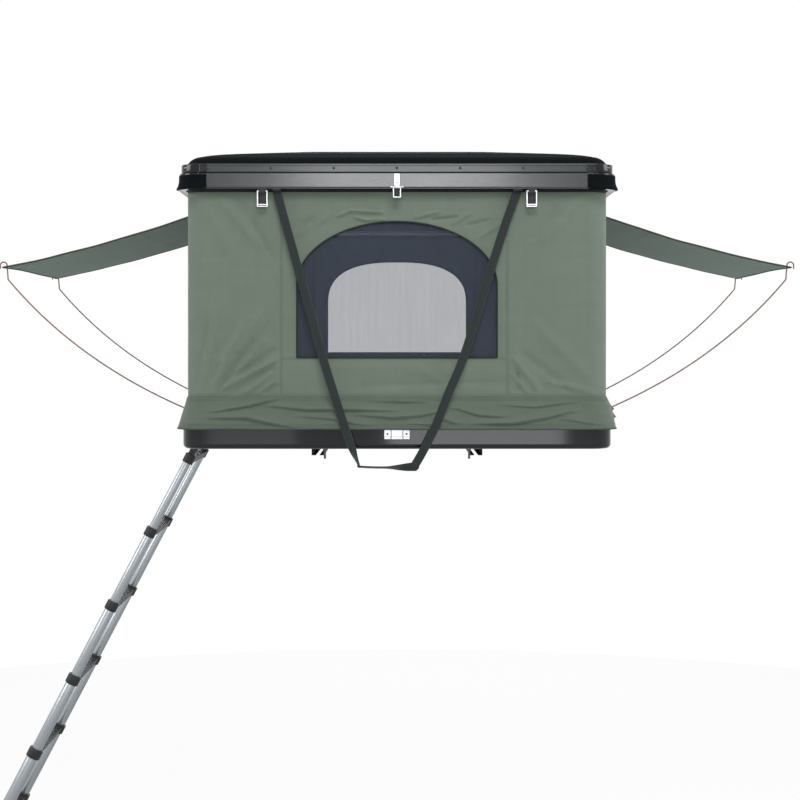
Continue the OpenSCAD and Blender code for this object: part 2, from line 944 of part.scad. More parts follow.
module strut_rod(sx, sy) {
  color(steel)
    strut_at(sx, sy)
      translate([0, 0, strut_run]) {
        x_rod(strut_r - 1, -eye_w / 2, eye_w / 2);
        mirror([sx > 0 ? 0 : 1, 0, 0])
          x_rod(pin_r, 0, strut_face() - strut_x - gap);
        translate([0, 0, -piston_back])
          cylinder(r = piston_rod_r, h = piston_back);
        translate([0, 0, -piston_back - 6])
          cylinder(r = strut_r - 2 - fit, h = 6.5);
      }
}

module strut_cylinder_front_left() { strut_cylinder(-1, -1); }
module strut_cylinder_front_right() { strut_cylinder(1, -1); }
module strut_cylinder_rear_left() { strut_cylinder(-1, 1); }
module strut_cylinder_rear_right() { strut_cylinder(1, 1); }
module strut_rod_front_left() { strut_rod(-1, -1); }
module strut_rod_front_right() { strut_rod(1, -1); }
module strut_rod_rear_left() { strut_rod(-1, 1); }
module strut_rod_rear_right() { strut_rod(1, 1); }

// Awnings and their rods

root_z = lip_z - awning_drop;
tip_x = cloth_x + gap + awning_reach - rod_in;
tip_z = root_z - awning_fall;
function sag_line(t, d) =
  [
    cloth_x + gap + awning_reach * t,
    root_z - awning_fall * t - awning_sag * 4 * t * (1 - t) + d
  ];

module awning() {
  n = 14;
  difference() {
    translate([0, awning_l / 2, 0])
      rotate([90, 0, 0])
        linear_extrude(awning_l)
          polygon(concat(
            [for (i = [0:n]) sag_line(i / n, awning_t / 2)],
            [for (i = [n:-1:0]) sag_line(i / n, -awning_t / 2)]
          ));
    both_ends()
      translate([tip_x, awning_l / 2 - rod_in, tip_z - 60])
        cylinder(r = rod_r + 2.5, h = 120);
  }
}

module awning_left() {
  color(green)
    mirror([1, 0, 0])
      awning();
}

module awning_right() {
  color(green)
    awning();
}

// Line of a rod from its socket, bowed, up through the awning and over its hook
function bow(a, b, c, t) = (1 - t) * (1 - t) * a + 2 * t * (1 - t) * b + t * t * c;
rod_line = let (
  a = [base_x + socket_l, socket_z],
  b = [tip_x - bow_in, socket_z + bow_up],
  c = [tip_x - 4, tip_z - 42],
  top = [tip_x, tip_z + 8]
)
  concat(
    [[base_x + 1.5, socket_z]],
    [for (i = [0:14]) bow(a, b, c, i / 14)],
    [for (i = [0:7]) [top[0] + hook_r - hook_r * cos(i * 180 / 7), top[1] + hook_r * sin(i * 180 / 7)]],
    [[top[0] + 2 * hook_r, top[1] - hook_r]]
  );

module spring_rod() {
  n = len(rod_line);
  sides = 8;
  function way(i) =
    let (d = rod_line[min(i + 1, n - 1)] - rod_line[max(i - 1, 0)])
      d / norm(d);
  function round_at(i, r) =
    let (p = rod_line[i], w = way(i))
      [for (k = [0:sides - 1]) let (a = k * 360 / sides)
        [p[0] - w[1] * r * cos(a), r * sin(a), p[1] + w[0] * r * cos(a)]];
  points = [for (i = [0:n - 1]) each round_at(i, rod_r)];
  faces = concat(
    [[for (k = [0:sides - 1]) k]],
    [for (i = [0:n - 2], k = [0:sides - 1])
      let (a = i * sides + k, b = i * sides + (k + 1) % sides)
        each [[b, a, a + sides], [b, a + sides, b + sides]]],
    [[for (k = [sides - 1:-1:0]) (n - 1) * sides + k]]
  );
  polyhedron(points, faces, convexity = 6);
}

module awning_rods() {
  both_ends()
    translate([0, awning_l / 2 - rod_in, 0])
      spring_rod();
}

module awning_rods_left() {
  color(steel)
    mirror([1, 0, 0])
      awning_rods();
}

module awning_rods_right() {
  color(steel)
    awning_rods();
}

// Ladder, drawn downwards along -Z from its pin and then leaned outwards

function tube_radius(k) = tube_r + (k - 1) * tube_step;
function tube_top(k) = ladder_head + 4 + (k - 1) * rung_pitch;
function tube_end(k) = tube_top(k + 1) + (k < sections ? tube_lap : 0);

module ladder_at() {
  translate([-pin_x, 0, ladder_z])
    rotate([0, ladder_lean, 0])
      children();
}

module each_rail() {
  for (s = [-1, 1])
    translate([0, s * ladder_w / 2, 0])
      children();
}

// Cylinder down the ladder from distance a to distance b
module down(r, a, b) {
  translate([0, 0, -b])
    cylinder(r = r, h = b - a);
}

module ladder_section(k) {
  r = tube_radius(k);
  color(alloy)
    ladder_at()
      each_rail()
        difference() {
          down(r, tube_top(k), tube_end(k));
          down(r - tube_t, tube_top(k) - 1, tube_end(k) + 1);
        }
}

module ladder_collars(k) {
  r = tube_radius(k);
  top = tube_top(k) - 4;
  eye = 12;
  color(dark)
    ladder_at()
      difference() {
        union() {
          each_rail() {
            down(r + collar_t, top, top + collar_h);
            if (k == 1) {
              y_rod(eye, 2 * eye);
              translate([-eye, -eye, -top - 2])
                cube([2 * eye, 2 * eye, top + 2]);
            }
          }
          translate([-rung_d / 2, -ladder_w / 2, -top - collar_h / 2 - rung_h / 2])
            cube([rung_d, ladder_w, rung_h]);
        }
        each_rail() {
          down(r + gap / 2, top + 4, top + collar_h + 1);
          if (k == 1)
            y_rod(5 + fit, 4 * tube_r);
          else
            down(tube_radius(k - 1) + gap, top - 1, top + 5);
        }
      }
}

module ladder_feet() {
  r = tube_radius(sections);
  end = tube_end(sections);
  color(dark)
    ladder_at()
      each_rail()
        difference() {
          down(r + 4, end - 30, end + 12);
          down(r + gap / 2, end - 31, end + gap / 2);
        }
}

module ladder_section_1() { ladder_section(1); }
module ladder_section_2() { ladder_section(2); }
module ladder_section_3() { ladder_section(3); }
module ladder_section_4() { ladder_section(4); }
module ladder_section_5() { ladder_section(5); }
module ladder_section_6() { ladder_section(6); }
module ladder_section_7() { ladder_section(7); }
module ladder_collars_1() { ladder_collars(1); }
module ladder_collars_2() { ladder_collars(2); }
module ladder_collars_3() { ladder_collars(3); }
module ladder_collars_4() { ladder_collars(4); }
module ladder_collars_5() { ladder_collars(5); }
module ladder_collars_6() { ladder_collars(6); }
module ladder_collars_7() { ladder_collars(7); }

lower_shell();
floor_panel();
mattress();
rim_seal();
mounting_rails();
mount_bolts();
latch_keepers();
rod_sockets();
strut_foot_brackets();
ladder_bracket();
canvas_front();
canvas_rear();
canvas_left();
canvas_right();
skirt();
window_netting();
door_roll();
upper_shell();
trim_rails();
trim_corners();
trim_rivets();
lid_frame();
headliner();
strut_head_brackets();
latch_brackets();
strap_anchors();
pull_strap();
latch_ring_front_left();
latch_ring_front_right();
latch_ring_rear_left();
latch_ring_rear_right();
hasp_ring();
strut_cylinder_front_left();
strut_cylinder_front_right();
strut_cylinder_rear_left();
strut_cylinder_rear_right();
strut_rod_front_left();
strut_rod_front_right();
strut_rod_rear_left();
strut_rod_rear_right();
awning_left();
awning_right();
awning_rods_left();
awning_rods_right();
ladder_section_1();
ladder_section_2();
ladder_section_3();
ladder_section_4();
ladder_section_5();
ladder_section_6();
ladder_section_7();
ladder_collars_1();
ladder_collars_2();
ladder_collars_3();
ladder_collars_4();
ladder_collars_5();
ladder_collars_6();
ladder_collars_7();
ladder_feet();
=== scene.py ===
import math

import bmesh
import bpy
from mathutils import Matrix, Vector, noise


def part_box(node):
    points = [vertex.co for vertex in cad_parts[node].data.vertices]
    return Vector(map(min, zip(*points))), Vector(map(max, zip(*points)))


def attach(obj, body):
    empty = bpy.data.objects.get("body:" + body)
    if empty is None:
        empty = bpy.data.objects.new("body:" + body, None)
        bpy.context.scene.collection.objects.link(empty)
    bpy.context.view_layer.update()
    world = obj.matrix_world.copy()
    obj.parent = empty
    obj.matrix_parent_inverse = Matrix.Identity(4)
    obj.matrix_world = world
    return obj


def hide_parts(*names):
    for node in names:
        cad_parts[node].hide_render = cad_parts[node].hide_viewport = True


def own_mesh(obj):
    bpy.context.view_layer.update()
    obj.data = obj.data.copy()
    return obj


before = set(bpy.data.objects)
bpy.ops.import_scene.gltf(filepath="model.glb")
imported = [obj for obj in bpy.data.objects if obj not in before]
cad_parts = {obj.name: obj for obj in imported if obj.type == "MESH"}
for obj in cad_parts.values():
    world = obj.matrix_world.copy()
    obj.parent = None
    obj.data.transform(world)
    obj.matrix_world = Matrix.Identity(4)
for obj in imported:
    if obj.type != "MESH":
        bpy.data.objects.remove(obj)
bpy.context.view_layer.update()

bl_info = {
    "name": "Roof top tent dressing",
    "version": (1, 0, 0),
    "blender": (4, 5, 0),
    "location": "View3D > Sidebar > Tent",
    "description": "Cloth, shells, finishes and stage of a hard-shell roof top tent",
    "category": "Object",
}


def srgb(red, green, blue):
    """Linear colour of an 8-bit display colour."""
    def linear(c):
        c /= 255
        return c / 12.92 if c <= 0.04045 else ((c + 0.055) / 1.055) ** 2.4
    return linear(red), linear(green), linear(blue)


def side_of(node, corner, axis):
    """One coordinate of a CAD node's box."""
    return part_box(node)[corner][axis]


LIP_X, LIP_Y, LIP_Z = side_of("trim_rails", 1, 0), side_of("trim_rails", 1, 1), side_of("trim_rails", 0, 2)
TRIM_TOP = side_of("trim_rails", 1, 2)
BASE_X, BASE_Y = side_of("lower_shell", 1, 0), side_of("lower_shell", 1, 1)
BASE_Z, RIM_Z = side_of("lower_shell", 0, 2), side_of("lower_shell", 1, 2)
CLOTH_X, CLOTH_Y = side_of("canvas_right", 1, 0), side_of("canvas_rear", 1, 1)
CLOTH_LOW, CLOTH_TOP = side_of("canvas_rear", 0, 2), side_of("canvas_rear", 1, 2)
CROWN_TOP = side_of("upper_shell", 1, 2)
FLOOR_Z = side_of("ladder_feet", 0, 2)
TRAVEL = 0.715  # of the lid, from open to closed
UNDER_LIP_SHADE_Z = LIP_Z - 0.008  # lower edge of the painted shade under the lid's lip, a dark band at the canvas's top
SEAL_Z = side_of("rim_seal", 1, 2)
# at the closed limit: the turn that lays an awning flat
FOLD_TURN = math.radians(16.01)
HINGE_X, HINGE_Z = side_of("awning_right", 0, 0), LIP_Z - 0.013
FRONT_SEAMS_X = (-0.367, 0.351)  # upright seams beside the front window
WEAVE, NET_PITCH = 0.0021, 0.0034  # thread spacing of canvas and netting
NET_SET_BACK, PIPING_PROUD = 0.0036, 0.0008  # from the face of the canvas


def length(name, about, value, least=0.0, most=3.0):
    """A length that a user would change."""
    return bpy.props.FloatProperty(name=name, description=about, default=value, min=least, max=most,
                                   unit="LENGTH", precision=4)


def tint(name, about, colour):
    """A colour that a user would change."""
    return bpy.props.FloatVectorProperty(name=name, description=about, default=colour, size=3, min=0, max=1,
                                         subtype="COLOR")


class TentSizes(bpy.types.PropertyGroup):
    """Sizes of the cloth and of the small pieces on it."""
    cloth_radius: length("Cloth corner", "Radius of the canvas at the tent's corners", 0.060, 0.02, 0.09)
    shell_wall: length("Shell wall", "Wall of both shells", 0.0045, 0.002, 0.008)
    window_half: length("Window half width", "Half the width of a window", 0.317, 0.15, 0.4)
    window_sill: length("Window sill", "Height of a window's sill", 0.316, 0.2, 0.4)
    window_side: length("Window side", "Height of a window's straight sides", 0.228, 0.1, 0.3)
    window_arch: length("Window arch", "Rise of a window's arch", 0.202, 0.1, 0.25)
    window_less: length("Rear window", "How much less the rear window opens", 0.013, 0.0, 0.05)
    door_half: length("Door half width", "Half the width of a side opening", 0.400, 0.2, 0.45)
    door_sill: length("Door sill", "Height of a side opening's sill", 0.205, 0.18, 0.3)
    door_head: length("Door head", "Height of a side opening's head", 0.770, 0.6, 0.8)
    door_corner: length("Door corner", "Radius of a side opening's corners", 0.090, 0.03, 0.15)
    net_lap: length("Netting lap", "Overlap of the netting on the canvas", 0.012, 0.0, 0.03)
    piping: length("Piping", "Radius of the piping round a window", 0.0026, 0.001, 0.006)
    hem_bead: length("Hem bead", "Radius of the bound hem", 0.0022, 0.001, 0.006)
    skirt_top: length("Skirt top", "Height of the skirt's seam", 0.190, 0.15, 0.25)
    skirt_hem: length("Skirt hem", "Height of the skirt's hem", 0.089, 0.05, 0.12)
    skirt_flare: length("Skirt flare", "How far the hem stands out", 0.031, 0.0, 0.05)
    fold: length("Canvas fold", "Height of the canvas folds", 0.0135, 0.0, 0.03)
    strap_width: length("Strap width", "Width of the pull strap", 0.027, 0.015, 0.05)
    strap_wall: length("Strap wall", "Thickness of the pull strap", 0.0025, 0.001, 0.005)
    # the latch flaps are dark pieces put in as painted shade behind the rings
    shade_flap_width: length("Latch flap", "Width of the rubber flap behind a latch ring", 0.0235, 0.01, 0.03)
    shade_flap_drop: length("Latch flap drop", "Length of the flap behind a latch ring", 0.034, 0.01, 0.05)
    pin_reach: length("Hasp pin", "Half the length of the hasp's pin", 0.021, 0.014, 0.03)
    awning_reach: length("Awning reach", "Reach of an awning from the canvas", 0.726, 0.4, 0.9)
    awning_fall: length("Awning fall", "Fall of an awning from root to edge", 0.203, 0.05, 0.4)
    rod_radius: length("Rod", "Radius of an awning's spring rods", 0.0025, 0.0015, 0.003)
    rod_inset: length("Rod inset", "Distance of a rod from the awning's edges", 0.012, 0.01, 0.016)
    hook: length("Rod hook", "Radius of the hook at a rod's end", 0.012, 0.01, 0.016)
    awning_sag: length("Awning sag", "Sag of an awning's cloth", 0.018, 0.0, 0.05)


class TentFinishes(bpy.types.PropertyGroup):
    """Colours of the finishes."""
    canvas: tint("Canvas", "Grey-green canvas", srgb(113, 125, 111))
    canvas_worn: tint("Canvas, worn", "Faded threads of the canvas", srgb(122, 133, 120))
    netting: tint("Netting", "Insect netting", srgb(84, 90, 106))
    webbing: tint("Webbing", "Pull strap and straps", srgb(33, 41, 39))
    shell: tint("Shell", "Moulded black shells", srgb(14, 19, 21))
    trim: tint("Trim", "Black trim bands", srgb(19, 24, 27))
    dark: tint("Dark plastic", "Collars, sockets and brackets", srgb(24, 26, 28))
    alloy: tint("Alloy", "Anodised tubes and rails", srgb(167, 172, 175))
    steel: tint("Steel", "Latches, keepers and rods", srgb(214, 216, 216))
    bronze: tint("Spring wire", "Browned spring steel of the awning rods", srgb(122, 98, 90))
    rubber: tint("Rubber", "Seal and feet", srgb(22, 22, 23))
    felt: tint("Headliner", "Quilted headliner", srgb(150, 156, 152))
    ticking: tint("Mattress", "Mattress cover", srgb(142, 147, 148))
    ply: tint("Floor", "Floor panel", srgb(176, 152, 120))
    floor: tint("Stage floor", "Plain pale floor", (0.86, 0.86, 0.86))


def sizes():
    return bpy.context.scene.tent_sizes


def finishes():
    return bpy.context.scene.tent_finishes


# Finishes

class Value:
    """An output of a node that takes part in sums: each operator adds a Math node."""

    def __init__(self, nodes, socket):
        self.nodes = nodes
        self.socket = socket

    def math(self, operation, *others):
        return self.nodes.node("ShaderNodeMath", {"operation": operation}, dict(enumerate(others)))

    def __add__(self, other):
        return self.math("ADD", self, other)

    def __sub__(self, other):
        return self.math("SUBTRACT", self, other)

    def __rsub__(self, other):
        return self.math("SUBTRACT", other, self)

    def __mul__(self, other):
        return self.math("MULTIPLY", self, other)

    def __abs__(self):
        return self.math("ABSOLUTE", self)

    def __pow__(self, other):
        return self.math("POWER", self, other)

    __radd__ = __add__
    __rmul__ = __mul__

    def wave(self, pitch):
        """A sine of this length along the value."""
        return self.math("SINE", self * (2 * math.pi / pitch))

    def over(self, level):
        """1 above the level, 0 below."""
        return self.math("GREATER_THAN", self, level)

    def within(self, inner, outer):
        """1 below inner, falling smoothly to 0 at outer."""
        return self.nodes.node("ShaderNodeMapRange", {"interpolation_type": "SMOOTHSTEP"},
                               {0: self, 1: inner, 2: outer, 3: 1.0, 4: 0.0})

    def most(self, other):
        return self.math("MAXIMUM", self, other)

    def least(self, other):
        return self.math("MINIMUM", self, other)


class Nodes:
    """A node tree and the way to add to it."""

    def __init__(self, tree):
        self.tree = tree

    def node(self, kind, settings=None, inputs=None, output=0):
        """Adds a node, sets it up, feeds its sockets and gives one of its outputs."""
        made = self.tree.nodes.new(kind)
        for key, value in (settings or {}).items():
            setattr(made, key, value)
        for key, value in (inputs or {}).items():
            self.feed(made.inputs[key], value)
        return Value(self, made.outputs[output])

    def feed(self, socket, value):
        if isinstance(value, Value):
            self.tree.links.new(value.socket, socket)
        else:
            socket.default_value = value


class Paint(Nodes):
    """One finish: a Principled shader and the nodes that feed it."""

    def __init__(self, name, fixed):
        self.material = bpy.data.materials.new(name)
        self.material.use_nodes = True
        super().__init__(self.material.node_tree)
        self.shader = self.tree.nodes["Principled BSDF"]
        for key, value in fixed.items():
            self.shader.inputs[key].default_value = value

    def give(self, **inputs):
        """Feeds sockets of the shader, with _ for a space in a name."""
        for key, value in inputs.items():
            self.feed(self.shader.inputs[key.replace("_", " ")], value)
        return self.material

    def place(self):
        """Object coordinates."""
        return self.node("ShaderNodeTexCoord", output=3)

    def axes(self, vector=None):
        split = self.node("ShaderNodeSeparateXYZ", {}, {0: vector or self.place()})
        return [Value(self, out) for out in split.socket.node.outputs]

    def stretched(self, scale, turn=(0.0, 0.0, 0.0)):
        """Object coordinates, turned and then scaled."""
        return self.node("ShaderNodeMapping", {"vector_type": "TEXTURE"},
                         {0: self.place(), 2: turn, 3: tuple(1 / s for s in scale)})

    def speckle(self, scale, detail=2.0, vector=None, rough=0.5):
        return self.node("ShaderNodeTexNoise", {}, {"Vector": vector or self.place(), "Scale": scale,
                                                    "Detail": detail, "Roughness": rough})

    def mix(self, share, first, second, blend="MIX"):
        def full(c):
            return c if isinstance(c, Value) else (*c[:3], 1)
        return self.node("ShaderNodeMix", {"data_type": "RGBA", "blend_type": blend},
                         {0: share, 6: full(first), 7: full(second)}, output=2)

    def bump(self, height, distance, strength=1.0):
        return self.node("ShaderNodeBump", {}, {"Strength": strength, "Distance": distance, "Height": height})


def shade(colour, factor):
    return tuple(min(1.0, c * factor) for c in colour)


def once(maker):
    """Keeps each finish after its first use."""
    made = {}

    def give(*args):
        if args not in made:
            made[args] = maker(*args)
        return made[args]
    return give


@once
def gloss_shell():
    """Black moulded plastic with a faint orange peel, dust and fine scuffs."""
    f = finishes()
    p = Paint("gloss_shell", {"Coat Weight": 0.15, "Coat Roughness": 0.05, "Specular IOR Level": 0.25})
    dust = p.speckle(7.0, 6.0)
    peel = p.speckle(260.0, 1.0)
    scuff = p.speckle(40.0, 3.0, p.stretched((1.0, 1.0, 14.0)))
    return p.give(Base_Color=p.mix(dust * 0.5, f.shell, shade(f.shell, 1.7)),
                  Roughness=0.035 + dust * 0.04 + scuff * 0.03,
                  Normal=p.bump(peel * 0.6 + scuff * 0.4, 0.0004, 0.05))


@once
def crown_shell():
    """Grained black plastic of the crown, duller than the trim."""
    f = finishes()
    p = Paint("crown_shell", {"Specular IOR Level": 0.03})
    grain = p.node("ShaderNodeTexVoronoi", {"feature": "SMOOTH_F1"}, {"Vector": p.place(), "Scale": 420.0})
    dust = p.speckle(5.0, 6.0)
    return p.give(Base_Color=p.mix(dust * 0.6, shade(f.shell, 0.6), shade(f.shell, 1.2)),
                  Roughness=0.56 + dust * 0.14 + grain * 0.1,
                  Normal=p.bump(grain, 0.0008, 0.5))


@once
def trim_gloss():
    """Black trim with fine drawn lines: gloss below the groove, satin above it, plain dark corners."""
    f = finishes()
    p = Paint("trim_gloss", {"Coat Roughness": 0.12, "Specular IOR Level": 0.35})
    lines = p.speckle(30.0, 3.0, p.stretched((1.0, 1.0, 40.0)))
    dust = p.speckle(9.0, 5.0)
    x, y, z = p.axes()
    upper = 1.0 - z.within(LIP_Z + 0.049, LIP_Z + 0.0535)
    groove = abs(z - LIP_Z - 0.0522).within(0.0024, 0.0034)
    bead = abs(z - TRIM_TOP + 0.0058).within(0.0006, 0.0014)
    corner = abs(x).over(LIP_X - 0.099) * abs(y).over(LIP_Y - 0.099)
    dull = groove.most(bead * 0.7) * (1.0 - corner)
    colour = p.mix(dust * 0.5, f.trim, shade(f.trim, 1.6))
    return p.give(Base_Color=p.mix(corner, colour, shade(f.trim, 0.3)),
                  Roughness=((0.19 + upper * 0.05 + dust * 0.08 + lines * 0.06) * (1.0 - corner * 0.6)
                             + dull * 0.6),
                  Coat_Weight=(0.30 - upper * 0.13) * (1.0 - corner) * (1.0 - dull),
                  Normal=p.bump(lines, 0.0003, 0.3))


# half width of a seam, flat and with its edge, and where its two rows of stitches are and how long a stitch is
SEAM_HALF, SEAM_HALF_OUT, STITCH_OFF, STITCH_PITCH = 0.0045, 0.0062, 0.0032, 0.0062


def seam_mask(p, axes, seams):
    """Ridges and stitches of straight seams: the axis a seam crosses, where, and its span along the other."""
    ridge = stitch = None
    for across, at, along, low, high in seams:
        off = abs(axes[across] - at)
        span = abs(axes[along] - (low + high) / 2).within((high - low) / 2, (high - low) / 2 + 0.004)
        band = off.within(SEAM_HALF, SEAM_HALF_OUT) * span
        rows = abs(off - STITCH_OFF).within(0.0005, 0.0010) * span
        dots = rows * axes[along].wave(STITCH_PITCH).over(-0.3)
        ridge = band if ridge is None else ridge.most(band)
        stitch = dots if stitch is None else stitch.most(dots)
    return ridge, stitch


@once
def canvas(name, along, seams, tone=(1.0, 1.0, 1.0), bound=None):
    """Poly-cotton canvas: plain weave, slubs, fading and sewn seams, with painted shade above the height
    bound, under the lid's lip, and a tone that brightens a whole piece as painted light or darkens it as
    painted shade.
    """
    f = finishes()
    p = Paint(name, {"Sheen Weight": 0.25, "Sheen Roughness": 0.5, "Specular IOR Level": 0.2})
    axes = p.axes()
    weave = axes[along].wave(WEAVE) * axes[2].wave(WEAVE)
    slub = p.speckle(55.0, 3.0, p.stretched((1.0, 1.0, 0.12)))
    cross = p.speckle(55.0, 3.0, p.stretched((0.12, 0.12, 1.0)))
    fade = p.speckle(3.2, 5.0)
    blotch = p.speckle(14.0, 4.0)
    threads = slub * 0.5 + cross * 0.5
    colour = p.mix(fade, shade(f.canvas, 0.9), f.canvas_worn)
    colour = p.mix((threads - 0.5) * 1.2 + 0.5, shade(f.canvas, 0.82), colour)
    colour = p.mix(blotch.within(0.35, 0.7) * 0.25, colour, shade(f.canvas, 0.86))
    height = weave * 0.35 + threads * 0.5
    if seams:
        ridge, stitch = seam_mask(p, axes, seams)
        colour = p.mix(ridge * 0.22, colour, shade(f.canvas, 0.62))
        colour = p.mix(stitch * 0.55, colour, shade(f.canvas, 0.5))
        height = height + ridge * 1.2 - stitch * 0.9
    # painted shade: the canvas above this height is darkened where the lid's lip overhangs it
    if bound:
        colour = p.mix(axes[2].over(bound), colour, shade(f.canvas, 0.1))
    # painted light and shade: the tone brightens the awnings' cloth and darkens the skirt's
    if tone != (1.0, 1.0, 1.0):
        colour = p.mix(1.0, colour, tone, "MULTIPLY")
    return p.give(Base_Color=colour, Roughness=0.78 + threads * 0.16, Normal=p.bump(height, 0.0010, 0.55))


@once
def netting():
    """Fine insect netting: threads both ways with open holes between."""
    f = finishes()
    p = Paint("netting", {"Specular IOR Level": 0.15, "Sheen Weight": 0.15})
    x, y, z = p.axes()
    side = (x + y).wave(NET_PITCH)
    up = z.wave(NET_PITCH)
    threads = (side * side) ** 3.0 + (up * up) ** 3.0
    streak = p.speckle(60.0, 3.0, p.stretched((1.0, 1.0, 0.05)))
    haze = p.speckle(6.0, 3.0)
    return p.give(Base_Color=p.mix(streak, shade(f.netting, 0.85), shade(f.netting, 1.2)),
                  Roughness=0.7 + haze * 0.2,
                  Alpha=(0.175 + threads * 0.21 + haze * 0.06 + streak * 0.08).least(1.0))


@once
def webbing():
    """Woven strap: herringbone along the strap's own length, with a painted highlight on its raised edges."""
    f = finishes()
    p = Paint("webbing", {"Sheen Weight": 0.2, "Specular IOR Level": 0.25})
    u, v, _ = p.axes(p.node("ShaderNodeTexCoord", output=2))
    slant = (v + abs(u - 0.5) * 0.012).wave(0.0042)
    ribs = u.wave(0.125)
    # painted highlight: the strap's raised edges are coloured lighter
    edge = abs(u - 0.5).within(0.40, 0.46)
    wear = p.speckle(30.0, 4.0)
    colour = p.mix(slant * 0.25 + wear * 0.5 + 0.1, shade(f.webbing, 0.7), shade(f.webbing, 1.45))
    colour = p.mix(edge, shade(f.webbing, 1.2), colour)
    return p.give(Base_Color=colour, Roughness=0.66 + wear * 0.25,
                  Normal=p.bump(slant * 0.5 + ribs * 0.5 + wear * 0.3, 0.0009, 0.6))


@once
def bound_edge(name, factor):
    """Folded tape of a hem or piping."""
    f = finishes()
    p = Paint(name, {"Specular IOR Level": 0.25})
    x, y, z = p.axes()
    twill = (x + y + z).wave(0.004)
    wear = p.speckle(40.0, 4.0)
    base = shade(f.canvas, factor)
    return p.give(Base_Color=p.mix(wear, shade(base, 0.8), shade(base, 1.3)),
                  Roughness=0.65 + wear * 0.25, Normal=p.bump(twill, 0.0006, 0.5))


@once
def metal(name, key, turn, rough):
    """Brushed metal: fine lines along one direction, smudges, a duller tone in the lines."""
    f = finishes()
    colour = getattr(f, key)[:]
    p = Paint(name, {})
    lines = p.speckle(160.0, 4.0, p.stretched((12.0, 12.0, 0.4), turn))
    smudge = p.speckle(11.0, 5.0)
    return p.give(Base_Color=p.mix(lines * 0.5 + smudge * 0.3, colour, shade(colour, 0.72)),
                  Metallic=0.96 - smudge * 0.06, Roughness=rough + lines * 0.14 + smudge * 0.1,
                  Normal=p.bump(lines, 0.00025, 0.35))


def spot(x, z, at_x, at_z, radius):
    """Mask of a round mark on an upright face."""
    across, up = x - at_x, z - at_z
    return (across * across + up * up).within(radius ** 2, (radius + 0.0006) ** 2)


def bracket_marks(x, z):
    """Plastic bearing blocks of the side latches, and painted shade for the hole in the hasp's plate."""
    # painted shade: a dark disc where the hasp's plate has its hole; the side latches' blocks are dark plastic
    return abs(x).over(0.2).most(spot(x, z, 0.0, LIP_Z + 0.019, 0.0022))


def keeper_shade_marks(x, z):
    """Painted shade in the grooves beside the bridge of the front keeper and along the fold at its foot."""
    low = side_of("latch_keepers", 0, 2)
    # painted shade: dark lines in the grooves beside the bridge and along the fold at the keeper's foot
    groove = abs(abs(x) - 0.0186).within(0.0007, 0.0014)
    fold = abs(z - low - 0.0072).within(0.0004, 0.0010) * 0.5
    return groove.most(fold) * abs(x).within(0.05, 0.06)


@once
def marked_steel(name, marks):
    """Brushed steel, dark and dull where the marks are."""
    f = finishes()
    p = Paint(name, {})
    lines = p.speckle(160.0, 4.0, p.stretched((0.4, 12.0, 12.0)))
    smudge = p.speckle(11.0, 5.0)
    x, _, z = p.axes()
    dark = marks(x, z)
    bright = p.mix(lines * 0.5 + smudge * 0.3, shade(f.steel, 0.92), shade(f.steel, 0.62))
    return p.give(Base_Color=p.mix(dark, bright, f.dark), Metallic=(0.96 - smudge * 0.06) * (1.0 - dark),
                  Roughness=0.30 + lines * 0.14 + smudge * 0.1 + dark * 0.3,
                  Normal=p.bump(lines, 0.00025, 0.35))


@once
def painted_tube():
    """Black enamel of the gas struts."""
    f = finishes()
    p = Paint("painted_tube", {"Coat Weight": 0.6, "Coat Roughness": 0.08})
    dust = p.speckle(18.0, 5.0)
    return p.give(Base_Color=p.mix(dust * 0.6, f.dark, shade(f.dark, 1.8)), Roughness=0.24 + dust * 0.16,
                  Normal=p.bump(dust, 0.0003, 0.2))


@once
def moulded(name, key, rough):
    """Grained matt plastic or rubber with pale scuffs."""
    f = finishes()
    colour = getattr(f, key)[:]
    p = Paint(name, {"Specular IOR Level": 0.4})
    grain = p.speckle(520.0, 2.0)
    scuff = p.speckle(24.0, 6.0, rough=0.7)
    return p.give(Base_Color=p.mix(scuff.within(0.55, 0.8) * -0.5 + 0.5, colour, shade(colour, 2.2)),
                  Roughness=rough + scuff * 0.2, Normal=p.bump(grain, 0.0005, 0.45))


@once
def plywood():
    """Birch floor panel, clear varnish."""
    f = finishes()
    p = Paint("plywood", {"Coat Weight": 0.2})
    rings = p.node("ShaderNodeTexWave", {"wave_type": "BANDS", "bands_direction": "X"},
                   {"Vector": p.stretched((1.0, 0.08, 1.0)), "Scale": 6.0, "Distortion": 9.0, "Detail": 3.0})
    pores = p.speckle(120.0, 3.0, p.stretched((1.0, 0.06, 1.0)))
    return p.give(Base_Color=p.mix(rings * 0.6 + pores * 0.3, f.ply, shade(f.ply, 0.66)),
                  Roughness=0.42 + pores * 0.2, Normal=p.bump(pores, 0.0005, 0.4))


@once
def quilt(name, key):
    """Brushed lining cloth."""
    f = finishes()
    colour = getattr(f, key)[:]
    p = Paint(name, {"Sheen Weight": 0.4, "Specular IOR Level": 0.1})
    x, y, _ = p.axes()
    knit = x.wave(0.003) * y.wave(0.003)
    fuzz = p.speckle(300.0, 3.0)
    fade = p.speckle(5.0, 4.0)
    return p.give(Base_Color=p.mix(fade * 0.5 + fuzz * 0.4, colour, shade(colour, 0.7)),
                  Roughness=0.86 + fuzz * 0.1, Normal=p.bump(knit * 0.4 + fuzz, 0.0010, 0.5))


# Shapes

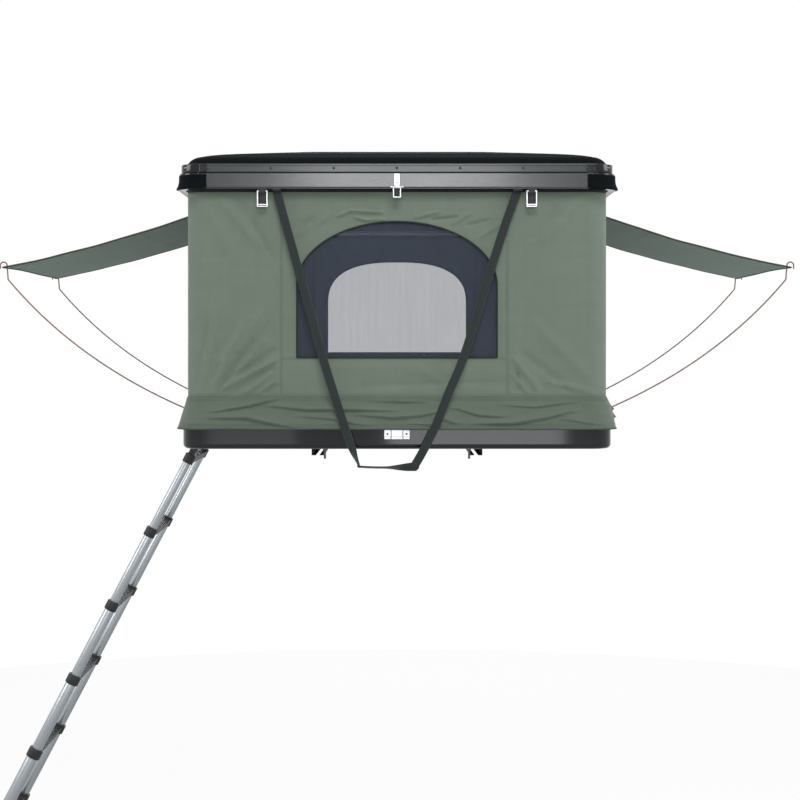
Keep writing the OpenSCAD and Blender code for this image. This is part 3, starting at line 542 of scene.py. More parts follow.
def publish(bm, name, material, body, replaced=()):
    """Makes a smooth-shaded piece of a bmesh, riding on a body."""
    mesh = bpy.data.meshes.new(name)
    for face in bm.faces:
        face.smooth = True
    bm.to_mesh(mesh)
    bm.free()
    piece = bpy.data.objects.new(name, mesh)
    bpy.context.scene.collection.objects.link(piece)
    mesh.materials.append(material)
    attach(piece, body)
    if replaced:
        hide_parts(*replaced)
    return piece


def modify(piece, kind, **settings):
    """Adds a modifier."""
    made = piece.modifiers.new(kind.title(), kind)
    for key, value in settings.items():
        setattr(made, key, value)


def dress(material, *nodes, edge=0.0009):
    """Gives CAD nodes a finish and soft edges."""
    for node in nodes:
        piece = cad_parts[node]
        piece.data.materials.clear()
        piece.data.materials.append(material)
        if edge:
            modify(piece, "WELD", merge_threshold=0.00002)
            modify(piece, "BEVEL", width=edge, segments=2, limit_method="ANGLE", angle_limit=math.radians(38),
                   harden_normals=False)


def mapped_grid(columns, rows, place):
    """Grid with its u and v from 0 to 1 as the UV map and each point moved to place(u, v)."""
    bm = bmesh.new()
    uv = bm.loops.layers.uv.verify()
    made = bmesh.ops.create_grid(bm, x_segments=columns, y_segments=rows, size=1.0)["verts"]
    half = max(v.co.x for v in made)
    where = {v: (v.co.x / half / 2 + 0.5, v.co.y / half / 2 + 0.5) for v in made}
    for face in {face for v in made for face in v.link_faces}:
        for corner in face.loops:
            corner[uv].uv = where[corner.vert]
    for v, (a, b) in where.items():
        v.co = place(a, b)
    return bm


def stitched(bm):
    """Joins the points that meet."""
    bmesh.ops.remove_doubles(bm, verts=bm.verts, dist=0.00001)
    return bm


def rounded_loop(bm, half_x, half_y, radius, z, segments=72):
    """Adds a rounded rectangle of edges at height z."""
    ring = bmesh.ops.create_circle(bm, segments=segments, radius=radius)["verts"]
    bmesh.ops.rotate(bm, verts=ring, matrix=Matrix.Rotation(math.pi / segments, 3, "Z"))
    for v in ring:
        v.co.x += math.copysign(half_x - radius, v.co.x)
        v.co.y += math.copysign(half_y - radius, v.co.y)
        v.co.z = z
    return ring


def ring_edges(ring):
    """Edges between the points of a ring, in the order of the points."""
    inside = set(ring)
    return list(dict.fromkeys(e for v in ring for e in v.link_edges if e.other_vert(v) in inside))


def lofted(levels):
    """Capped shell through rounded rectangles, each given by half sizes, corner radius and height."""
    bm = bmesh.new()
    ring = rounded_loop(bm, *levels[0])
    for (a, b, r, _), (half_x, half_y, radius, z) in zip(levels, levels[1:]):
        made = bmesh.ops.extrude_edge_only(bm, edges=ring_edges(ring))["geom"]
        ring = [v for v in made if isinstance(v, bmesh.types.BMVert)]
        for v in ring:
            x = half_x - radius + (abs(v.co.x) - a + r) * radius / r
            y = half_y - radius + (abs(v.co.y) - b + r) * radius / r
            v.co = (math.copysign(x, v.co.x), math.copysign(y, v.co.y), z)
    bmesh.ops.contextual_create(bm, geom=ring_edges(ring))
    bmesh.ops.recalc_face_normals(bm, faces=bm.faces)
    return bm


def eased(points, steps):
    """Smooth line through points."""
    padded = [points[0], *points, points[-1]]
    line = []
    for a, b, c, d in zip(padded, padded[1:], padded[2:], padded[3:]):
        a, b, c, d = map(Vector, (a, b, c, d))
        for i in range(steps):
            t = i / steps
            line.append(0.5 * (2 * b + (c - a) * t + (2 * a - 5 * b + 4 * c - d) * t * t
                               + (3 * b - a - 3 * c + d) * t ** 3))
    return line + [Vector(points[-1])]


def tube(points, radius, closed=False, sides=4):
    """Mesh of a round bead along points, made from a bevelled curve."""
    curve = bpy.data.curves.new("bead", "CURVE")
    curve.dimensions = "3D"
    curve.bevel_depth = radius
    curve.bevel_resolution = sides // 2
    curve.use_fill_caps = not closed
    line = curve.splines.new("POLY")
    line.points.add(len(points) - 1)
    for spot, p in zip(line.points, points):
        spot.co = (*p, 1)
    line.use_cyclic_u = closed
    holder = bpy.data.objects.new("bead", curve)
    bpy.context.scene.collection.objects.link(holder)
    bpy.context.view_layer.update()
    mesh = holder.evaluated_get(bpy.context.evaluated_depsgraph_get()).to_mesh()
    bm = bmesh.new()
    bm.from_mesh(mesh)
    bpy.data.objects.remove(holder)
    bpy.data.curves.remove(curve)
    return bm


def joined(*parts):
    """One bmesh of several."""
    whole = bmesh.new()
    for part in parts:
        mesh = bpy.data.meshes.new("part")
        part.to_mesh(mesh)
        part.free()
        whole.from_mesh(mesh)
        bpy.data.meshes.remove(mesh)
    return whole


def edge_of(inside, centre, angle, far=3.0):
    """Where a ray from the centre leaves a shape."""
    low, high = 0.0, far
    way = Vector((math.cos(angle), math.sin(angle)))
    for _ in range(40):
        half = (low + high) / 2
        if inside(*(centre + way * half)):
            low = half
        else:
            high = half
    return centre + way * low


def window(way, grow=0.0):
    """Test of a point in a window's arch, grown all round. The rear one is smaller and squarer."""
    s = sizes()
    less, square = (0.0, 2.0) if way < 0 else (s.window_less, 2.6)
    a, sill = s.window_half - less * 0.6 + grow, s.window_sill + less - grow
    top, arch = s.window_sill + s.window_side, s.window_arch - less + grow

    def inside(x, z):
        if abs(x) > a or z < sill:
            return False
        return z <= top or abs(x / a) ** square + ((z - top) / arch) ** square <= 1
    return inside, Vector((0, s.window_sill + 0.20)), [(-a, sill), (a, sill)]


def doorway(grow=0.0):
    """Test of a point in a side opening, grown all round."""
    s = sizes()
    a, low, high, r = s.door_half + grow, s.door_sill - grow, s.door_head + grow, s.door_corner

    def inside(y, z):
        if abs(y) > a or not low <= z <= high:
            return False
        dy, dz = abs(y) - (a - r), max(low + r - z, z - (high - r))
        return dy <= 0 or dz <= 0 or dy * dy + dz * dz <= r * r
    return inside, Vector((0, (s.door_sill + s.door_head) / 2)), []


def spokes(count, centre, corners):
    """Angles all round, with the nearest ones turned to point at the corners."""
    angles = [2 * math.pi * i / count for i in range(count)]
    for corner in corners:
        a = math.atan2(corner[1] - centre.y, corner[0] - centre.x) % (2 * math.pi)
        angles[round(a / (2 * math.pi) * count) % count] = a
    return angles


def framed(hole, half, low, high, columns, rings, place):
    """Panel round a hole: rays from the hole's edge to the panel's, joined into one sheet."""
    inside, centre, corners = hole

    def panel(u, z):
        return abs(u) <= half and low <= z <= high
    ends = [(-half, low), (half, low), (half, high), (-half, high), *corners]
    rays = [(edge_of(inside, centre, a), edge_of(panel, centre, a)) for a in spokes(columns, centre, ends)]

    def spot(u, v):
        inner, outer = rays[round(u * columns) % columns]
        return place(*inner.lerp(outer, v))
    return stitched(mapped_grid(columns, rings, spot))


def filled(shape, columns, rings, place):
    """Sheet that fills a shape from its middle."""
    inside, centre, corners = shape
    rays = [edge_of(inside, centre, a) for a in spokes(columns, centre, corners)]

    def spot(u, v):
        return place(*centre.lerp(rays[round(u * columns) % columns], v))
    return stitched(mapped_grid(columns, rings, spot))


def outline_of(shape, count):
    inside, centre, corners = shape
    return [edge_of(inside, centre, a) for a in spokes(count, centre, corners)]


def rise(value, low, high):
    """Smooth step from 0 at low to 1 at high."""
    share = min(1, max(0, (value - low) / (high - low)))
    return share * share * (3 - 2 * share)


def ridge(x, z, ax, az, bx, bz, width, height):
    """Height of a fold along the line from a to b, fading at its ends."""
    vx, vz = bx - ax, bz - az
    t = ((x - ax) * vx + (z - az) * vz) / (vx * vx + vz * vz)
    if t < -0.3 or t > 1.3:
        return 0.0
    c = min(1, max(0, t))
    d = math.hypot(x - ax - c * vx, z - az - c * vz) / width
    return height * math.exp(-d * d) * math.sin(math.pi * (t + 0.3) / 1.6) ** 0.7


def pleat(x, z, line, height):
    """Height of a fold that hangs over a crease: steep below the line, easing off above it."""
    if not line[0][0] - 0.03 < x < line[-1][0] + 0.03:
        return 0.0
    at = line[-1][1]
    for (ax, az), (bx, bz) in zip(line, line[1:]):
        if x <= bx:
            at = az + (bz - az) * max(0, (x - ax) / (bx - ax))
            break
    share = (x - line[0][0] + 0.03) / (line[-1][0] - line[0][0] + 0.06)
    d = z - at
    fall = math.exp(-((d / 0.0036) ** 2)) if d < 0 else math.exp(-d / 0.012)
    return height * fall * math.sin(math.pi * share) ** 0.6


def crumple(x, y, z, size, height):
    """Small uneven creases."""
    return noise.noise(Vector((x, y, z)) / size) * height


def round_corner(u, flat_half):
    """Point and outward way on a wall that turns its two corners, by the distance u from its middle."""
    r = sizes().cloth_radius
    if abs(u) <= flat_half:
        return u, 0.0, 0.0, 1.0
    a = (abs(u) - flat_half) / r
    sign = math.copysign(1, u)
    return sign * (flat_half + r * math.sin(a)), r * (1 - math.cos(a)), sign * math.sin(a), math.cos(a)


FRONT_FOLDS = (
    # fan of folds from the window's lower left corner to the skirt
    (-0.389, 0.308, -0.573, 0.211, 0.0100, 0.75), (-0.405, 0.262, -0.476, 0.206, 0.0080, 0.75),
    (-0.396, 0.336, -0.566, 0.216, 0.0110, -0.55), (-0.427, 0.368, -0.544, 0.225, 0.0120, 0.6),
    (-0.459, 0.368, -0.582, 0.203, 0.0110, -0.5), (-0.516, 0.368, -0.587, 0.201, 0.0120, 0.65),
    (-0.398, 0.285, -0.520, 0.205, 0.0080, -0.5), (-0.392, 0.240, -0.440, 0.203, 0.0070, 0.5),
    (-0.386, 0.225, -0.415, 0.202, 0.0060, -0.4), (-0.470, 0.440, -0.560, 0.300, 0.0140, 0.5),
    (-0.560, 0.480, -0.610, 0.260, 0.0150, 0.45), (-0.600, 0.420, -0.630, 0.230, 0.0130, -0.35),
    (-0.430, 0.460, -0.500, 0.340, 0.0120, 0.35), (-0.410, 0.420, -0.470, 0.330, 0.0100, -0.3),
    # weaker fan and puckers at the lower right
    (0.372, 0.310, 0.450, 0.215, 0.0090, 0.45), (0.400, 0.330, 0.540, 0.215, 0.0130, -0.35),
    (0.366, 0.262, 0.412, 0.205, 0.0070, 0.45), (0.440, 0.420, 0.600, 0.260, 0.0180, 0.35),
    (0.380, 0.290, 0.386, 0.215, 0.0060, -0.45), (0.480, 0.240, 0.620, 0.205, 0.0090, 0.45),
    # slack under the lid
    (-0.560, 0.822, -0.440, 0.675, 0.0160, 0.65), (-0.500, 0.815, -0.400, 0.640, 0.0140, -0.45),
    (-0.610, 0.800, -0.520, 0.640, 0.0200, 0.4), (0.570, 0.820, 0.470, 0.690, 0.0180, 0.5),
    (0.500, 0.790, 0.440, 0.700, 0.0120, -0.35),
    # creases over the window's arch
    (-0.190, 0.764, -0.148, 0.782, 0.0060, 0.6), (-0.148, 0.782, -0.050, 0.776, 0.0060, 0.6),
    (-0.132, 0.760, -0.098, 0.752, 0.0050, 0.6), (-0.098, 0.752, -0.040, 0.754, 0.0050, 0.5),
    (-0.250, 0.740, -0.215, 0.770, 0.0080, 0.4), (-0.300, 0.735, -0.270, 0.760, 0.0080, -0.35),
    (0.060, 0.760, 0.130, 0.778, 0.0060, 0.55), (0.110, 0.752, 0.190, 0.760, 0.0060, -0.5),
    (0.180, 0.742, 0.235, 0.775, 0.0070, 0.5), (0.225, 0.735, 0.290, 0.750, 0.0070, -0.45),
    (0.265, 0.700, 0.320, 0.735, 0.0080, 0.4), (-0.320, 0.700, -0.280, 0.735, 0.0080, 0.35),
    # panel under the window
    (-0.300, 0.285, 0.320, 0.272, 0.0180, 0.16), (-0.120, 0.225, 0.340, 0.236, 0.0120, -0.22),
    (0.060, 0.285, 0.180, 0.215, 0.0140, 0.18),
)


def slack(z):
    """0 at the canvas's clamped top edge, 1 further down."""
    return min(1, max(0, (CLOTH_TOP - 0.012 - z) / 0.06))


def front_fold(u, z):
    """Folds of the front wall: those of the table, puckers along the seams and small creases."""
    s = sizes()
    depth = sum(ridge(u, z, *f[:5], s.fold * f[5]) for f in FRONT_FOLDS)
    for at in FRONT_SEAMS_X:
        depth += math.exp(-((u - at) / 0.011) ** 2) * noise.noise(Vector((u * 60, 0, z * 34))) * 0.0022
    depth += crumple(u, 0, z, 0.11, 0.0020) + crumple(u, 3, z, 0.035, 0.0007)
    return depth * slack(z)


def side_fold(u, z, seed):
    """Folds of the side and rear walls: slack at the corners and long shallow pulls."""
    s = sizes()
    depth = 0.0
    for i in range(14):
        a = noise.cell_vector(Vector((seed + i * 3.1, i * 1.7, seed))) - Vector((0.5, 0.5, 0.5))
        ax, az = a.x * 1.7, 0.50 + a.y * 0.6
        depth += ridge(u, z, ax, az, ax + (0.20 if i % 2 else -0.2) * (0.5 + a.z), az - 0.16, 0.018,
                       s.fold * 0.6 * (1 if i % 3 else -0.7))
    depth += crumple(u, seed, z, 0.12, 0.0024) + crumple(u, seed + 5, z, 0.035, 0.0006)
    return depth * slack(z)


def squash_wall(piece):
    """Gives a piece of the walls a mesh of its own."""
    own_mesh(piece)


def squash_awning(piece, way):
    """Works out the axis, hinge and lift of an awning's fold, which nothing uses, and gives the piece a mesh
    of its own.
    """
    axis = Vector((way * math.sin(FOLD_TURN), 0, math.cos(FOLD_TURN)))
    hinge = Vector((way * HINGE_X, 0, HINGE_Z))
    lift = SEAL_Z + (0.0036 if way > 0 else -0.0031) - (HINGE_Z - TRAVEL)
    hinge - axis * lift
    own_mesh(piece)


# Pieces

class Piece(bpy.types.Operator):
    """Base of the operators: a piece either is made or stops with an error."""
    bl_options = {"REGISTER", "UNDO"}

    def execute(self, context):
        self.make()
        return {"FINISHED"}


# crown: how far in from the trim at the sides and the ends, and the height, in metres for the foot and as a
# share of the crown for the dome
CROWN_FOOT = ((0.0, 0.0, -0.024), (0.0, 0.0, -0.002), (0.0016, 0.0016, 0.0016), (0.005, 0.005, 0.0022),
              (0.010, 0.009, 0.0026))
CROWN_DOME = (
    (0.0125, 0.011, 0.09), (0.0215, 0.018, 0.26), (0.034, 0.026, 0.385), (0.047, 0.034, 0.445),
    (0.059, 0.040, 0.485), (0.075, 0.046, 0.53), (0.107, 0.052, 0.58), (0.154, 0.058, 0.625),
    (0.218, 0.066, 0.67), (0.313, 0.078, 0.735), (0.408, 0.10, 0.81), (0.48, 0.16, 0.88),
    (0.53, 0.28, 0.94), (0.56, 0.45, 1.0),
)
CROWN_INSET, CROWN_CORNER = 0.0173, 0.0577
# tray: how far in from its side and how far below the rim
TRAY_RIM = ((0.036, 0.004), (0.036, 0.0012), (0.0348, 0.0), (0.003, 0.0), (0.0009, 0.0009), (0, 0.003),
            (0, 0.006), (0, 0.018), (0.0006, 0.0195), (0.0006, 0.0215), (0, 0.023), (0, 0.025))
TRAY_CORNER, TRAY_FOOT = 0.0705, 0.015


class TENT_OT_shells(Piece):
    """Domed lid and lower tray, each swept round the tent with soft edges"""
    bl_idname = "tent.shells"
    bl_label = "Shells"

    def make(self):
        wall = sizes().shell_wall
        inner_x, inner_y = LIP_X - CROWN_INSET, LIP_Y - CROWN_INSET
        tall = CROWN_TOP - TRIM_TOP - 0.0004
        levels = [*CROWN_FOOT, *eased([(a, b, tall * k) for a, b, k in CROWN_DOME], 4)]
        bm = lofted([(inner_x - a, inner_y - b, max(CROWN_CORNER - 0.5 * b, 0.024), TRIM_TOP + z)
                     for a, b, z in levels])
        lid = publish(bm, "lid_crown", crown_shell(), "lid", ["upper_shell"])
        modify(lid, "SOLIDIFY", thickness=wall, offset=-1)

        r = TRAY_FOOT
        profile = [(d, RIM_Z - below) for d, below in TRAY_RIM]
        profile += [(0, BASE_Z + r + 0.004), (0, BASE_Z + r + 0.002)]
        profile += [(r * (1 - math.cos(a)), BASE_Z + r * (1 - math.sin(a)))
                    for a in (math.pi / 2 * i / 8 for i in range(9))]
        profile += [(0.10, BASE_Z), (0.104, BASE_Z + 0.003), (0.30, BASE_Z + 0.003)]
        bm = lofted([(BASE_X - d, BASE_Y - d, max(TRAY_CORNER - d, 0.004), z) for d, z in profile])
        tray = publish(bm, "base_tray", gloss_shell(), "base", ["lower_shell"])
        modify(tray, "SOLIDIFY", thickness=wall * 0.6, offset=-1)


class TENT_OT_trim(Piece):
    """Finishes of the trim, lid frame, seal and brackets"""
    bl_idname = "tent.trim"
    bl_label = "Trim and fittings"

    def make(self):
        steel = metal("brushed_steel", "steel", (0.0, math.pi / 2, 0.0), 0.2)
        dress(trim_gloss(), "trim_rails", "trim_corners", edge=0.0022)
        dress(moulded("rivet_black", "dark", 0.4), "trim_rivets", edge=0.0003)
        dress(metal("frame_alloy", "alloy", (math.pi / 2, 0.0, 0.0), 0.32), "lid_frame",
              "strut_foot_brackets", "strut_head_brackets")
        dress(moulded("seal_rubber", "rubber", 0.6), "rim_seal", edge=0.0015)
        dress(moulded("socket_plastic", "dark", 0.5), "rod_sockets", "ladder_bracket", "strap_anchors",
              "mounting_rails")
        dress(painted_tube(), "mount_bolts", edge=0.0004)
        dress(marked_steel("keeper_steel", keeper_shade_marks), "latch_keepers", edge=0.0004)
        dress(marked_steel("bracket_steel", bracket_marks), "latch_brackets", edge=0.0004)
        dress(steel, "latch_ring_front_left", "latch_ring_front_right", "latch_ring_rear_left",
              "latch_ring_rear_right", "hasp_ring", edge=0)
        dress(plywood(), "floor_panel", edge=0.0012)


GUARD_PROFILE = ((-0.0023, 0.046), (-0.0021, 0.034), (-0.0012, 0.024), (0.0012, 0.015), (0.0044, 0.008),
                 (0.0062, 0.0045), (0.0057, 0.0024), (0.0030, 0.0014), (-0.0040, 0.0013))


class TENT_OT_guards(Piece):
    """Flared feet of the trim's corners"""
    bl_idname = "tent.guards"
    bl_label = "Corner guards"

    def make(self):
        r, run, sunk = 0.075, 0.022, 0.0026
        outline = eased([(a, z, 0.0) for a, z in GUARD_PROFILE], 4)
        length_round = 2 * run + r * math.pi / 2
        guards = []
        for sx in (-1, 1):
            for sy in (-1, 1):
                def place(u, v, sx=sx, sy=sy):
                    off, up, _ = outline[round(v * (len(outline) - 1))]
                    end = rise(min(u, 1 - u) * length_round, 0.0, 0.02)
                    off = -sunk + (off + sunk) * end
                    far = u * length_round - run
                    turn = min(math.pi / 2, max(0, far / r))
                    over = far - turn * r
                    x = LIP_X - r + (r + off) * math.sin(turn) + (min(over, 0) if turn == 0 else 0)
                    y = LIP_Y - r + (r + off) * math.cos(turn) - (over if turn == math.pi / 2 else 0)
                    return Vector((sx * x, sy * y, LIP_Z + up))
                bm = mapped_grid(48, len(outline) - 1, place)
                bmesh.ops.recalc_face_normals(bm, faces=bm.faces)
                guards.append(bm)
        guard = publish(joined(*guards), "corner_guards", crown_shell(), "lid", ())
        modify(guard, "SOLIDIFY", thickness=0.0012, offset=-1)


PIN_RADIUS, SCREW_X, SCREW_UP = 0.0021, 0.0303, 0.0165  # of the hasp's pin and the keeper's screws


class TENT_OT_latches(Piece):
    """Dark rubber flaps standing in for the shade behind the latch rings, the ends of the hasp's pin and the
    keeper's screws
    """
    bl_idname = "tent.latches"
    bl_label = "Latch details"

    def make(self):
        s = sizes()
        low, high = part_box("latch_ring_front_right")
        ring_x, ring_y = (low.x + high.x) / 2, -low.y
        hinge_low, hinge_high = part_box("hasp_ring")
        hinge = Vector((0, (hinge_low.y + hinge_high.y) / 2, hinge_high.z - 0.002))
        # painted shade: a dark flap behind each latch ring and behind the hasp stands in for the shade there
        hung = [(x, y * (ring_y - 0.0065), y, LIP_Z - 0.0122, s.shade_flap_width, s.shade_flap_drop)
                for x in (-ring_x, ring_x) for y in (-1, 1)]
        hung.append((0, hinge.y + 0.0035, -1, hinge.z - 0.0052, 0.0165, 0.025))
        flaps = []
        for x, y, way, top, wide, drop in hung:
            def place(u, v, x=x, y=y, way=way, top=top, wide=wide, drop=drop):
                ribs = sum(math.exp(-((v - at) / 0.035) ** 2) for at in (0.3, 0.62))
                return Vector((x + (u - 0.5) * wide, y + way * 0.0009 * ribs, top - drop * v))
            flaps.append(mapped_grid(6, 40, place))
        flap = publish(joined(*flaps), "latch_flaps", moulded("flap_rubber", "rubber", 0.5), "lid", ())
        modify(flap, "SOLIDIFY", thickness=0.0016, offset=0)
        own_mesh(flap)
        ring_half = hinge_high.x + 0.0003
        ends = [tube([hinge + Vector((way * far, 0, 0)) for far in (ring_half, s.pin_reach)], PIN_RADIUS,
                     sides=8) for way in (-1, 1)]
        publish(joined(*ends), "hasp_pin_ends", metal("pin_steel", "steel", (0.0, 0.0, 0.0), 0.25), "lid", ())
        screw_z = side_of("latch_keepers", 0, 2) + SCREW_UP
        turn = Matrix.Rotation(math.pi / 2, 4, "X")
        bm = bmesh.new()
        for way in (-1, 1):
            at = Matrix.Translation((way * SCREW_X, -BASE_Y - 0.0026, screw_z))
            bmesh.ops.create_cone(bm, cap_ends=True, segments=20, radius1=0.0031, radius2=0.0021,
                                  depth=0.0012, matrix=at @ turn)
        publish(bm, "keeper_screws", moulded("screw_black", "dark", 0.4), "base", ())


class TENT_OT_struts(Piece):
    """Finishes of the gas struts, and the bowed rods of the awnings"""
    bl_idname = "tent.struts"
    bl_label = "Gas struts and rods"

    def make(self):
        chrome = metal("rod_chrome", "steel", (0.57, 0.0, 0.0), 0.08)
        for end in ("front", "rear"):
            for side in ("left", "right"):
                dress(painted_tube(), "strut_cylinder_%s_%s" % (end, side), edge=0.0008)
                dress(chrome, "strut_rod_%s_%s" % (end, side), edge=0.0005)
        wire = metal("spring_wire", "bronze", (0.0, 0.9, 0.0), 0.35)
        s = sizes()
        tip = Vector((side_of("awning_right", 1, 0) - s.rod_inset, HINGE_Z - s.awning_fall))
        low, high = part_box("rod_sockets")
        socket = Vector((high.x, (low.z + high.z) / 2))
        bend, neck = Vector((tip.x - 0.26, socket.y + 0.171)), Vector((tip.x - 0.004, tip.y - 0.042))
        line = [Vector((BASE_X + 0.0015, socket.y))]
        line += [(1 - k) ** 2 * socket + 2 * k * (1 - k) * bend + k * k * neck
                 for k in (i / 28 for i in range(29))]
        line += [Vector((tip.x + s.hook * (1 - math.cos(a)), tip.y + 0.008 + s.hook * math.sin(a)))
                 for a in (math.pi * i / 14 for i in range(15))]
        line.append(Vector((tip.x + 2 * s.hook, tip.y + 0.008 - s.hook)))
        reach = side_of("awning_right", 1, 1) - s.rod_inset
        for name, way, lie in (("left", -1, 0.180), ("right", 1, 0.169)):
            bm = joined(*(tube([(way * q.x, y, q.y) for q in line], s.rod_radius, sides=8)
                          for y in (-reach, reach)))
            rods = publish(bm, "spring_rods_" + name, wire, name + "_rods", ["awning_rods_" + name])
            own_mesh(rods)


# treads: half their length, the radius of a rib, its height over the collar and the ribs' places
TREAD_HALF, RIB_RADIUS, RIB_UP = 0.155, 0.0013, 0.0122
RIBS = (-0.012, -0.006, 0.0, 0.006, 0.012)


class TENT_OT_ladder(Piece):
    """Finishes of the ladder, with ribbed treads on its rungs"""
    bl_idname = "tent.ladder"
    bl_label = "Ladder"

    def make(self):
        lean = math.radians(27.7)
        tubes = metal("ladder_alloy", "alloy", (0.0, lean, 0.0), 0.24)
        collar = moulded("collar_plastic", "dark", 0.42)
        tread = moulded("tread_rubber", "rubber", 0.7)
        up, out = Vector((math.sin(lean), 0, math.cos(lean))), Vector((math.cos(lean), 0, -math.sin(lean)))
        low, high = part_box("ladder_collars_2")
        second = (low + high) / 2
        low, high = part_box("ladder_collars_3")
        pitch = ((low + high) / 2 - second).length
        for k in range(1, 8):
            dress(tubes, "ladder_section_%d" % k, edge=0.0003)
            dress(collar, "ladder_collars_%d" % k, edge=0.002)
            face = second - up * (pitch * (k - 2) - RIB_UP)
            ribs = [tube([face + out * d + Vector((0, y, 0)) for y in (-TREAD_HALF, TREAD_HALF)], RIB_RADIUS)
                    for d in RIBS]
            publish(joined(*ribs), "ladder_tread_%d" % k, tread, "ladder_%d" % k, ())
        dress(moulded("foot_rubber", "rubber", 0.6), "ladder_feet", edge=0.002)


def hang_wall(bm, name, cloth):
    """Canvas of one wall."""
    wall = publish(bm, "canvas_%s_cloth" % name, cloth, "base", ["canvas_" + name])
    squash_wall(wall)


def bind_opening(line, name):
    """Piping along an opening's edge."""
    piping = bound_edge("window_piping", 0.12)
    squash_wall(publish(tube(line, sizes().piping, True), name, piping, "base", ()))


def hang_net(bm, name):
    """Netting of one wall, cut larger than its opening."""
    mesh = publish(bm, "netting_" + name, netting(), "base", ["window_netting"])
    squash_wall(mesh)


class TENT_OT_walls(Piece):
    """Canvas walls with their folds, seams, piping and netting"""
    bl_idname = "tent.walls"
    bl_label = "Canvas walls"

    def make(self):
        s = sizes()
        flat = CLOTH_X - s.cloth_radius
        half = flat + s.cloth_radius * math.pi / 2
        front_seams = (*((0, x, 2, 0.19, 0.864) for x in FRONT_SEAMS_X), (2, 0.313, 0, *FRONT_SEAMS_X),
                       (2, 0.196, 0, -0.7, 0.7), (2, 0.838, 0, -0.7, 0.7))
        front_cloth = canvas("canvas_front_cloth", 0, front_seams, (1.0, 1.0, 1.0), UNDER_LIP_SHADE_Z)
        for name, way in (("front", -1), ("rear", 1)):
            fold = front_fold if way < 0 else (lambda u, z: side_fold(u, z, 4.0))

            def place(u, z, way=way, fold=fold):
                x, back, nx, ny = round_corner(u, flat)
                d = fold(u, z) * abs(ny) * min(1, max(0, (z - s.skirt_top + 0.02) / 0.02))
                return Vector((x + nx * d, way * (CLOTH_Y - back + ny * d), z))
            bm = framed(window(way), half, CLOTH_LOW, CLOTH_TOP, 620, 84, place)
            if way < 0:
                bmesh.ops.reverse_faces(bm, faces=bm.faces)
            hang_wall(bm, name, front_cloth)
            proud = Vector((0, way * PIPING_PROUD, 0))
            bind_opening([place(p.x, p.y) + proud for p in outline_of(window(way, 0.001), 240)],
                         "window_piping_" + name)

            def net(x, z, way=way):
                d = crumple(x, way, z, 0.2, 0.003) - NET_SET_BACK
                return Vector((x, way * (CLOTH_Y + d), z))
            hang_net(filled(window(way, s.net_lap), 160, 14, net), name)

        side_half = CLOTH_Y - s.cloth_radius
        side_seams = ((1, -0.52, 2, 0.19, 0.864), (1, 0.52, 2, 0.19, 0.864), (2, 0.196, 1, -1.0, 1.0),
                      (2, 0.838, 1, -1.0, 1.0))
        side_cloth = canvas("canvas_side_cloth", 1, side_seams, (1.0, 1.0, 1.0), UNDER_LIP_SHADE_Z)
        for name, way in (("left", -1), ("right", 1)):
            def place(u, z, way=way):
                d = side_fold(u, z, 9.0 + way) * min(1, (side_half - abs(u)) / 0.05)
                return Vector((way * (CLOTH_X + d), u, z))
            bm = framed(doorway(), side_half, CLOTH_LOW, CLOTH_TOP, 560, 44, place)
            bmesh.ops.recalc_face_normals(bm, faces=bm.faces)
            hang_wall(bm, name, side_cloth)
            proud = Vector((way * PIPING_PROUD, 0, 0))
            bind_opening([place(p.x, p.y) + proud for p in outline_of(doorway(0.001), 260)],
                         "door_piping_" + name)

        def net(y, z):
            return Vector((CLOTH_X - NET_SET_BACK + crumple(8, y, z, 0.2, 0.003), y, z))
        hang_net(filled(doorway(s.net_lap), 160, 16, net), "right")


ROLL_TURNS, TIES_Y, TIE_WIDTH = 6.0, (-0.19, 0.19), 0.02


class TENT_OT_door(Piece):
    """Left door, rolled up over its opening and tied"""
    bl_idname = "tent.door"
    bl_label = "Rolled door"

    def make(self):
        low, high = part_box("door_roll")
        centre, r = (low + high) / 2, (high.x - low.x) / 2
        half = high.y

        def place(u, v):
            a = 2 * math.pi * ROLL_TURNS * v
            d = 0.007 + (r - 0.0085) * v ** 0.9 + crumple(u * 3, v * 9, 2, 0.3, 0.0010)
            ends = 1 - 0.05 * abs(2 * u - 1) ** 8
            y = (2 * u - 1) * half * (1 - 0.012 * math.sin(a * 0.5))
            return centre + Vector((-d * math.cos(a) * ends, y, d * math.sin(a) * ends))
        bm = mapped_grid(60, 240, place)
        roll = publish(bm, "door_roll_cloth", canvas("door_cloth", 1, ()), "base", ["door_roll"])
        squash_wall(roll)
        ties = []
        out = r + 0.0006
        for y in TIES_Y:
            def wrap(u, v, y=y):
                a = 2 * math.pi * v
                return centre + Vector((-out * math.cos(a), y + (u - 0.5) * TIE_WIDTH, out * math.sin(a)))
            ties.append(stitched(mapped_grid(4, 40, wrap)))
        tie = publish(joined(*ties), "door_ties", webbing(), "base", ())
        modify(tie, "SOLIDIFY", thickness=0.0012, offset=1)
        squash_wall(tie)


